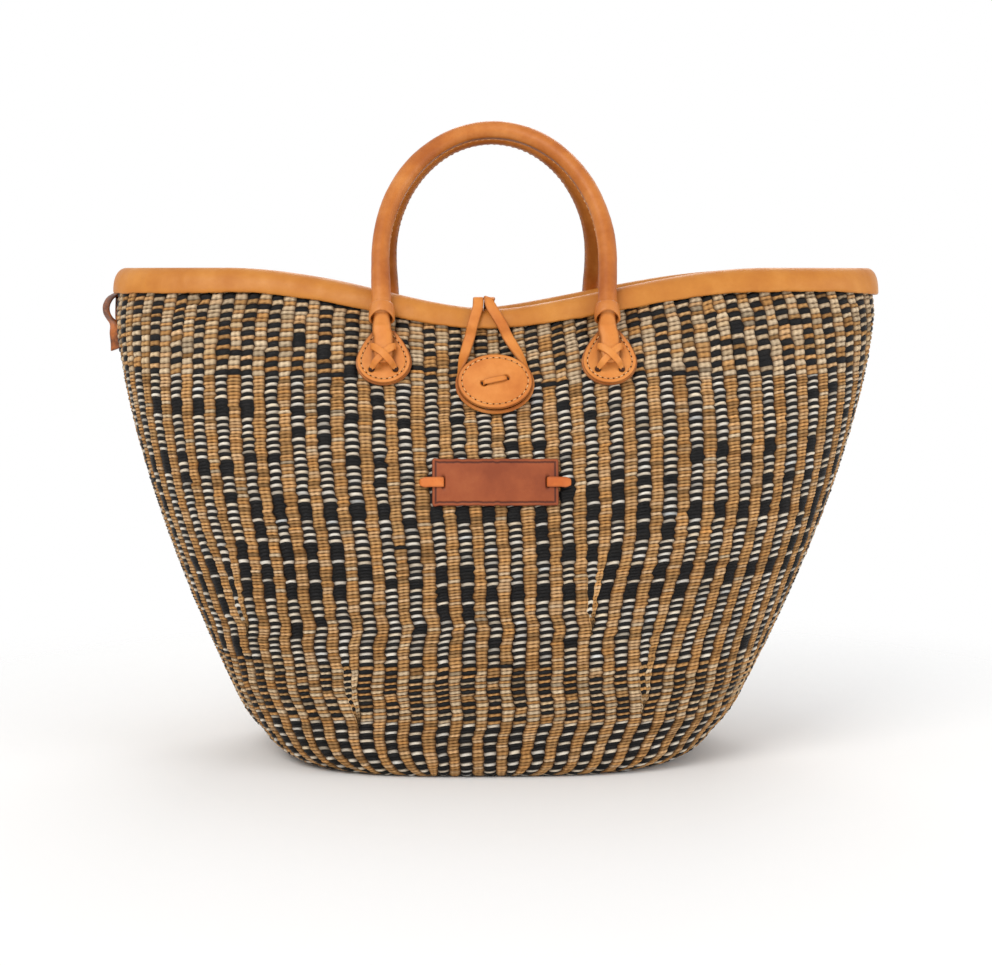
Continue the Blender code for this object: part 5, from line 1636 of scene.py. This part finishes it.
def loopLeg(side, turn, half, rimUp):
    # from the crest over the binding and down to the oval, turning on edge as it arrives
    wide, thick, run = loop["width"], loop["thickness"], loop["crestRun"]
    peak, x = crestPoint(), strandX(side)
    middle = peak[2] - thick / 2
    turned = 0.0 if side < 0 else 1.0   # the right leg leaves the crest half on edge
    start = [
        (x, peak[1] - run * 0.25, middle, 0.1 * turned, 0, 1, wide),
        (x - 0.0003 * turned, peak[1] - run * 0.6, middle - 0.0001, 0.25 * turned, -0.1, 1, wide),
        (x - 0.0008 * turned, peak[1] - run, middle - 0.0006, 0.5 * turned, -0.4, 1, wide),
    ]
    flat = gap + thick / 2
    over = flat + gap + binding["lift"]
    low, touchX, touchUp = rimUp - 0.0142, half[0] * math.cos(turn), half[1] * math.sin(turn) - loop["drop"]
    fall = rimUp - touchUp
    # height, lift of the strap's middle and how far it has turned on edge
    up, lift, edgewise = np.array([
        (rimUp - 0.0016, over, 0.0), (rimUp - 0.0078, over, 0.0), (low, over - 0.0003, 0.0),
        (low - 0.0052, flat + gap, 0.04), (touchUp + fall * 0.36, flat + gap, 0.2),
        (touchUp + fall * 0.18, flat, 0.62),
    ]).T
    quarter = edgewise * np.pi / 2
    across = x + (touchX - x) * (rimUp - up) / fall
    lift = lift + np.sin(quarter) * wide / 2 - (1 - np.cos(quarter)) * thick / 2
    line = loopStops(across, up, lift, side * np.sin(quarter), 0 * quarter, np.cos(quarter), wide)
    return np.concatenate([start, line])


def strapStops(side):
    # from the crest over the mouth in a slack curve, down to the seam on the inner rear wall
    peak, x, thick = crestPoint(), strandX(side), loop["thickness"]
    inside = -basket["wall"] - gap - thick / 2
    downs = -binding["height"] - loop["seamDrop"] - loop["seam"] * np.array([0, 0.5, 1])
    seam = mirrored(lay(x, downs, inside - np.array([2, 0.5, 0]) * gap, float(rimTop(x))), True)
    bend = np.array([x, peak[1] + loop["crestRun"] / 2, peak[2] - thick / 2])
    pull = bend + np.array([0, loop["swing"], 0])
    land = seam[0] + np.array([0, -loop["rearSwing"], loop["rearSwing"] / 2])
    t = np.linspace(0, 1, 19)[:, None]
    left = 1 - t
    path = left**3 * bend + 3 * left**2 * t * pull + 3 * left * t**2 * land + t**3 * seam[0]
    path = np.concatenate([path, seam[1:]])
    face = unit(np.cross(np.array([1.0, 0, 0]), np.gradient(path, axis=0)))
    return np.column_stack([path, face, np.full(len(path), loop["width"])])


def makeClosure():
    # one strap: up from the rear seam, over the crest, round the button and back beside itself
    half = np.array([button["halfWidth"], button["halfHeight"]]) + loop["play"] + loop["thickness"] / 2
    slant = frontNormal(loop["crestX"], float(rimTop(loop["crestX"])))[2]
    rimUp = button["drop"] / math.sqrt(1 - slant * slant)
    touch = []
    for side in (-1, 1):
        # the tangent from the strand at the rim to the oval, worked out on a unit circle
        across, along = strandX(side) / half[0], (rimUp + loop["drop"]) / half[1]
        touch.append(math.atan2(along, across) - side * math.acos(1 / math.hypot(across, along)))
    turn = np.linspace(touch[0], touch[1] + 2 * np.pi, loop["turns"] + 1)
    x, up, wide = half[0] * np.cos(turn), half[1] * np.sin(turn) - loop["drop"], loop["ringWidth"]
    away = unit(np.stack([np.cos(turn), np.sin(turn)], -1) / half)
    ring = loopStops(x, up, gap + wide / 2, away[:, 0], away[:, 1], 0 * turn, wide)
    legs = [loopLeg(side, touch[k], half, rimUp) for k, side in enumerate((-1, 1))]
    stops = [strapStops(-1)[::-1], legs[0], ring, legs[1][::-1], strapStops(1)]
    path, face, width = np.split(curveThrough(np.concatenate(stops), 4), [3, 6], axis=1)
    made = band(
        "closureStrap", path, unit(face), width[:, 0], loop["thickness"], tabLeather, 18, loop["burnAndShade"]
    )
    peak, reach = crestPoint(), np.array([0, loop["blendReach"], 0])
    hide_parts("closure_loop", "closure_strap_left", "closure_strap_right")
    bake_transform(made)


makeButton()
makeThong()
makeClosure()
print("Closure ready")


# Label, its ties, the knots inside and the side loop

label = {
    "halfWidth": 0.0383,
    "halfHeight": 0.0142,
    "leather": 0.0020,
    "edge": 0.0005,
    "corner": 0.0016,
    "ripple": 0.00012,      # how unevenly its long sides are cut
    "drop": 0.1044,
    "columns": 230,
    "rows": 84,
    "lineInset": 0.0022,
    "lineWidth": 0.00062,
    "lineDepth": 0.00030,
    "slotWidth": 0.0012,
    "slotHeight": 0.0040,
    "slotDepth": 0.0012,
    "lineBurn": 0.95,
    "edgeBurn": 0.8,
    "backBurn": 0.6,
    "innerX": 0.0315,
    "outerX": 0.0455,
    "tieWidth": 0.0064,
    "tieThickness": 0.0010,
}
labelZ = float(rimTop(0)) - label["drop"]


def makeLabel():
    # rows run along the patch, each ring goes round its section: face first, then the back
    halfX, thick = label["halfWidth"], label["leather"]
    edge, corner = label["edge"], label["corner"]
    x = np.linspace(-halfX, halfX, label["columns"])[:, None]
    inX = halfX - np.abs(x)
    cut = np.clip(1 - inX / corner, 0, 1)
    tall = label["halfHeight"] - corner * (1 - np.sqrt(1 - cut**2))
    tall = tall + label["ripple"] * spread(chance.standard_normal(label["columns"]), 9)[:, None]
    up = np.linspace(-1, 1, label["rows"]) * tall
    inY = tall - np.abs(up)
    inset = np.minimum(inY, inX)
    line = np.exp(-(((inset - label["lineInset"]) / label["lineWidth"]) ** 4))
    slotX, slotY = (np.abs(x) - label["innerX"]) / label["slotWidth"], up / label["slotHeight"]
    slot = np.exp(-(slotX**4 + slotY**4))
    # half the thickness falls off as a quarter circle at each edge
    fullness = thick / 2
    for inside in (inY, inX):
        fullness = fullness * np.sqrt(np.clip(1 - np.clip(1 - inside / edge, 0, 1) ** 2, 0.02, 1))
    middle = gap + thick / 2
    face = middle + fullness - label["lineDepth"] * line - label["slotDepth"] * slot
    back = middle - fullness
    points = np.concatenate([lay(x, up, face, labelZ), lay(x, up, back, labelZ)[:, ::-1]], 1)
    made = skin("label", points, labelLeather)
    # the slots get full painted shade; the line and the edges are darker leather
    burnAndShade = label["lineBurn"] * line + slot + label["edgeBurn"] * np.exp(-((inset / edge) ** 2))
    burnAndShade = np.concatenate([np.clip(burnAndShade, 0, 1), np.full_like(line, label["backBurn"])], 1)
    markBurnAndShade(made, burnAndShade, label["edgeBurn"])
    dressed(made, "label_leather", "basket", "label_patch")


def makeTie(name, side):
    # from the wall beside the patch over its end, and down into the slot
    thick, wide = label["tieThickness"], label["tieWidth"]
    low = gap + thick / 2
    top = low + label["leather"] + gap
    inner, outer = side * label["innerX"], side * label["outerX"]
    edge = side * (label["halfWidth"] + gap + thick)
    stops = [
        (outer, 0.0002, -0.0010, side, 0, 0.05, wide * 0.4),
        (outer, 0.0002, gap, side, 0, 0.15, wide * 0.52),
        (outer - side * thick * 0.6, 0, low + thick * 1.3, 0.7 * side, 0, 0.7, wide * 0.72),
        ((outer + edge) / 2, -0.0001, low + thick * 1.9, 0, 0, 1, wide),
        (edge, 0, top + thick * 0.3, 0, 0, 1, wide * 0.97),
        (inner + side * thick * 2, 0.0001, top + thick * 0.1, 0, 0, 1, wide),
        (inner + side * thick * 0.3, 0, top - thick * 0.5, -0.7 * side, 0, 0.7, wide * 0.95),
        (inner, 0, gap + thick, -side, 0, 0.1, wide * 0.85),
    ]
    made = wallStrip(f"labelTie_{name}", np.array(stops, float), thick, labelZ, tieLeather)
    dressed(made, "tie_leather", "basket", f"label_tie_{name}")


knot = {
    "small": 0.0026,        # radius of the knots of ties and laces
    "large": 0.0031,
    "steps": 96,
    "around": 10,
    "thread": 0.30,         # shares of the radius
    "wide": 0.3375,
    "tall": 0.27,
    "deep": 0.42,
    "lift": 0.75,
    "clear": 0.0006,
}


def makeKnot(name, node, x, up, z, radius, look, slot, rear=False):
    # trefoil tube: x = sin t + 2 sin 2t, y = cos t - 2 cos 2t, depth = -sin 3t
    t = evenTurn(knot["steps"])
    across, high = np.sin(t) + 2 * np.sin(2 * t), np.cos(t) - 2 * np.cos(2 * t)
    deep = -np.sin(3 * t) * knot["deep"]
    centre = radius * np.stack([across * knot["wide"], high * knot["tall"], deep], -1)
    along = unit(np.roll(centre, -1, 0) - np.roll(centre, 1, 0))
    side = unit(np.cross(along, np.array([0, 0, 1.0])))
    face = np.cross(side, along)
    turn = evenTurn(knot["around"])[:, None]
    ring = np.cos(turn) * side[:, None] + np.sin(turn) * face[:, None]
    tube = centre[:, None] + radius * knot["thread"] * ring
    lift = tube[..., 2] - basket["wall"] - knot["clear"] - radius * knot["lift"]
    points = lay(x + tube[..., 0], up + tube[..., 1], lift, z)
    dressed(skin(name, mirrored(points, rear), look, True), slot, "basket", node)


sideLoop = {
    "width": 0.010,
    "thickness": 0.0018,
    "reach": 0.0082,
    "eye": 0.0165,
    "tail": 0.017,
    "curl": 0.0014,
    "turn": 34.0,           # how far the eye has turned towards the front, in degrees
    "turnReach": 0.004,
    "tailTurn": 36.0,       # how much further the tail has
    "tailReach": 0.010,
    "tailOut": 0.0016,
}


def makeSideLoop():
    # strip folded into an eye under the binding, with its tail hanging down
    thick = sideLoop["thickness"]
    layer = thick + gap
    top = basket["rimHeight"] - binding["height"] - gap - thick / 2
    bottom = top - sideLoop["eye"]
    # shares of the eye's height and reach, then of the tail's length with its distance from the wall
    eye = [(0.10, 1.00), (0.38, 1.04), (0.74, 0.93), (0.98, 0.66), (0.92, 0.38), (0.66, 0.14)]
    tail = [(0.1, layer + gap), (0.5, layer + gap / 2), (0.8, layer + gap), (1.0, layer + sideLoop["curl"])]
    places = [(bottom - sideLoop["tail"] * 0.8, 0), (bottom, 0), ((bottom + top) / 2, 0)]
    places += [(bottom + sideLoop["eye"] * high, sideLoop["reach"] * far) for far, high in eye]
    places += [(bottom - sideLoop["tail"] * down, out) for down, out in tail]
    z, out = curveThrough(np.array(places), 6).T
    # the eye is seen on edge, and the tail turns towards the front
    below = smooth((bottom + 0.003 - z) / sideLoop["tailReach"]) * (out > 0.001)
    turned = math.radians(sideLoop["turn"]) * smooth(out / sideLoop["turnReach"])
    turned = turned + math.radians(sideLoop["tailTurn"]) * below
    off = gap + thick / 2 + out + sideLoop["tailOut"] * below
    path = swayed(np.stack([-halfWidth(z) - off * np.cos(turned), -off * np.sin(turned), z], -1))
    across = np.stack([-np.sin(turned), np.cos(turned), 0 * turned], -1)
    face = unit(np.cross(across, np.gradient(path, axis=0)))
    count = len(path)
    wide = sideLoop["width"] * np.interp(np.arange(count), [0, 20, 40, count], [1, 1, 0.9, 1.05])
    made = band("sideLoop", path, face, wide, thick, darkLeather, 18)
    dressed(made, "dark_leather", "basket", "side_loop")


makeLabel()
for name, side in sides:
    makeTie(name, side)
    middle = side * (label["innerX"] + label["outerX"]) / 2
    node = f"label_knot_{name}"
    makeKnot(f"labelKnot_{name}", node, middle, 0.0, labelZ, knot["small"], tieLeather, "tie_leather")
    x, up, small = side * handle["footX"], -lace["holeDrop"], knot["small"]
    for end, rear in ends:
        piece, node = f"{end}_{name}LaceKnot", f"{end}_{name}_lace_knot"
        makeKnot(piece, node, x, up, footHeight, small, tabLeather, "tab_leather", rear)
makeKnot("buttonKnot", "button_knot", 0.0, 0.0, buttonZ, knot["large"], tabLeather, "tab_leather")
makeSideLoop()
print("Label and side loop ready")


# Floor, light and camera

studio = {
    "floorSize": 8.0,
    "floorDrop": 0.0002,
    "floorShade": 0.95,
    "floorFade": (0.22, 0.60),   # distances from the basket between which the floor turns to plain white
    "lensPixels": 1958.0,
    "imageWidth": 992,
    "sensorWidth": 36,
    "cameraPlace": (-0.0208, -1.2915, 0.3007),
    "pitch": 5.5115,
    "yaw": 1.0288,
    "skyTint": (1.0, 0.99, 0.98, 1),
    "skyStrength": 0.62,
}
lamps = {   # place, target, size, power and tint
    "key": ((-0.9, -1.6, 1.5), (0, 0, 0.18), (1.2, 0.9), 26.0, (1.0, 0.98, 0.95)),
    "fill": ((1.6, -1.0, 0.7), (0, 0, 0.2), (1.2, 1.2), 11.0, (0.97, 0.98, 1.0)),
    "back": ((0.3, 1.6, 1.4), (0, 0, 0.25), (1.4, 0.8), 12.0, (1.0, 1.0, 1.0)),
}


def areaLight(name, place, target, size, power, tint):
    data = bpy.data.lights.new(name, "AREA")
    data.shape = "RECTANGLE"
    data.size, data.size_y = size
    data.energy = power
    data.color = tint
    lamp = bpy.data.objects.new(name, data)
    lamp.location = place
    aim = np.array(target) - np.array(place)
    level = math.hypot(aim[0], aim[1])
    lamp.rotation_euler = (math.atan2(level, -aim[2]), 0, math.atan2(aim[1], aim[0]) - math.pi / 2)
    bpy.context.scene.collection.objects.link(lamp)


def mixShaders(tree, share, first, second, target):
    # a share of the second shader over the first, into the target's surface
    mix = tree.nodes.new("ShaderNodeMixShader")
    tree.links.new(share, mix.inputs[0])
    tree.links.new(first.outputs[0], mix.inputs[1])
    tree.links.new(second.outputs[0], mix.inputs[2])
    tree.links.new(mix.outputs[0], tree.nodes[target].inputs["Surface"])


def makeStage():
    half, shade = studio["floorSize"] / 2, studio["floorShade"]
    grid = np.linspace(-half, half, 3)
    x, y = np.meshgrid(grid, grid)
    points = np.stack([x, y, np.full_like(x, -studio["floorDrop"])], -1)
    made, tree, shader = newMaterial("paleFloor", 0.9, 0.2)
    shader.inputs["Base Color"].default_value = (shade, shade, shade, 1)
    where, away = tree.nodes.new("ShaderNodeTexCoord"), tree.nodes.new("ShaderNodeVectorMath")
    away.operation = "LENGTH"
    tree.links.new(where.outputs["Object"], away.inputs[0])
    path, clear = tree.nodes.new("ShaderNodeLightPath"), tree.nodes.new("ShaderNodeBsdfTransparent")
    fade = rangeNode(tree, away.outputs["Value"], *studio["floorFade"])
    share = mathNode(tree, "MULTIPLY", fade, path.outputs["Is Camera Ray"])
    mixShaders(tree, share, shader, clear, "Material Output")
    quads = gridFaces(3, 3, False)
    floor = meshFrom("floor", points.reshape(-1, 3), quads.ravel(), np.full(len(quads), 4), made)


def makeWorld():
    # even pale sky for the light, plain white where the camera or a reflection sees it
    world = bpy.data.worlds.new("paleSky")
    bpy.context.scene.world = world
    world.use_nodes = True
    tree = world.node_tree
    lit, white = tree.nodes["Background"], tree.nodes.new("ShaderNodeBackground")
    looks = ((lit, studio["skyTint"], studio["skyStrength"]), (white, (1, 1, 1, 1), 1.0))
    for node, tint, strength in looks:
        node.inputs["Color"].default_value = tint
        node.inputs["Strength"].default_value = strength
    path = tree.nodes.new("ShaderNodeLightPath")
    seen = mathNode(tree, "MAXIMUM", path.outputs["Is Camera Ray"], path.outputs["Is Glossy Ray"])
    seen = mathNode(tree, "MAXIMUM", seen, path.outputs["Is Transmission Ray"])
    mixShaders(tree, seen, lit, white, "World Output")


def makeCamera():
    data = bpy.data.cameras.new("camera")
    data.sensor_width = studio["sensorWidth"]
    data.lens = studio["sensorWidth"] * studio["lensPixels"] / studio["imageWidth"]
    camera = bpy.data.objects.new("camera", data)
    camera.location = studio["cameraPlace"]
    camera.rotation_euler = (math.radians(90 - studio["pitch"]), 0, math.radians(-studio["yaw"]))
    bpy.context.scene.collection.objects.link(camera)
    bpy.context.scene.camera = camera


makeStage()
makeWorld()
for name, values in lamps.items():
    areaLight(name, *values)
makeCamera()
bpy.context.scene.view_settings.view_transform = "Standard"
print("Stage ready")


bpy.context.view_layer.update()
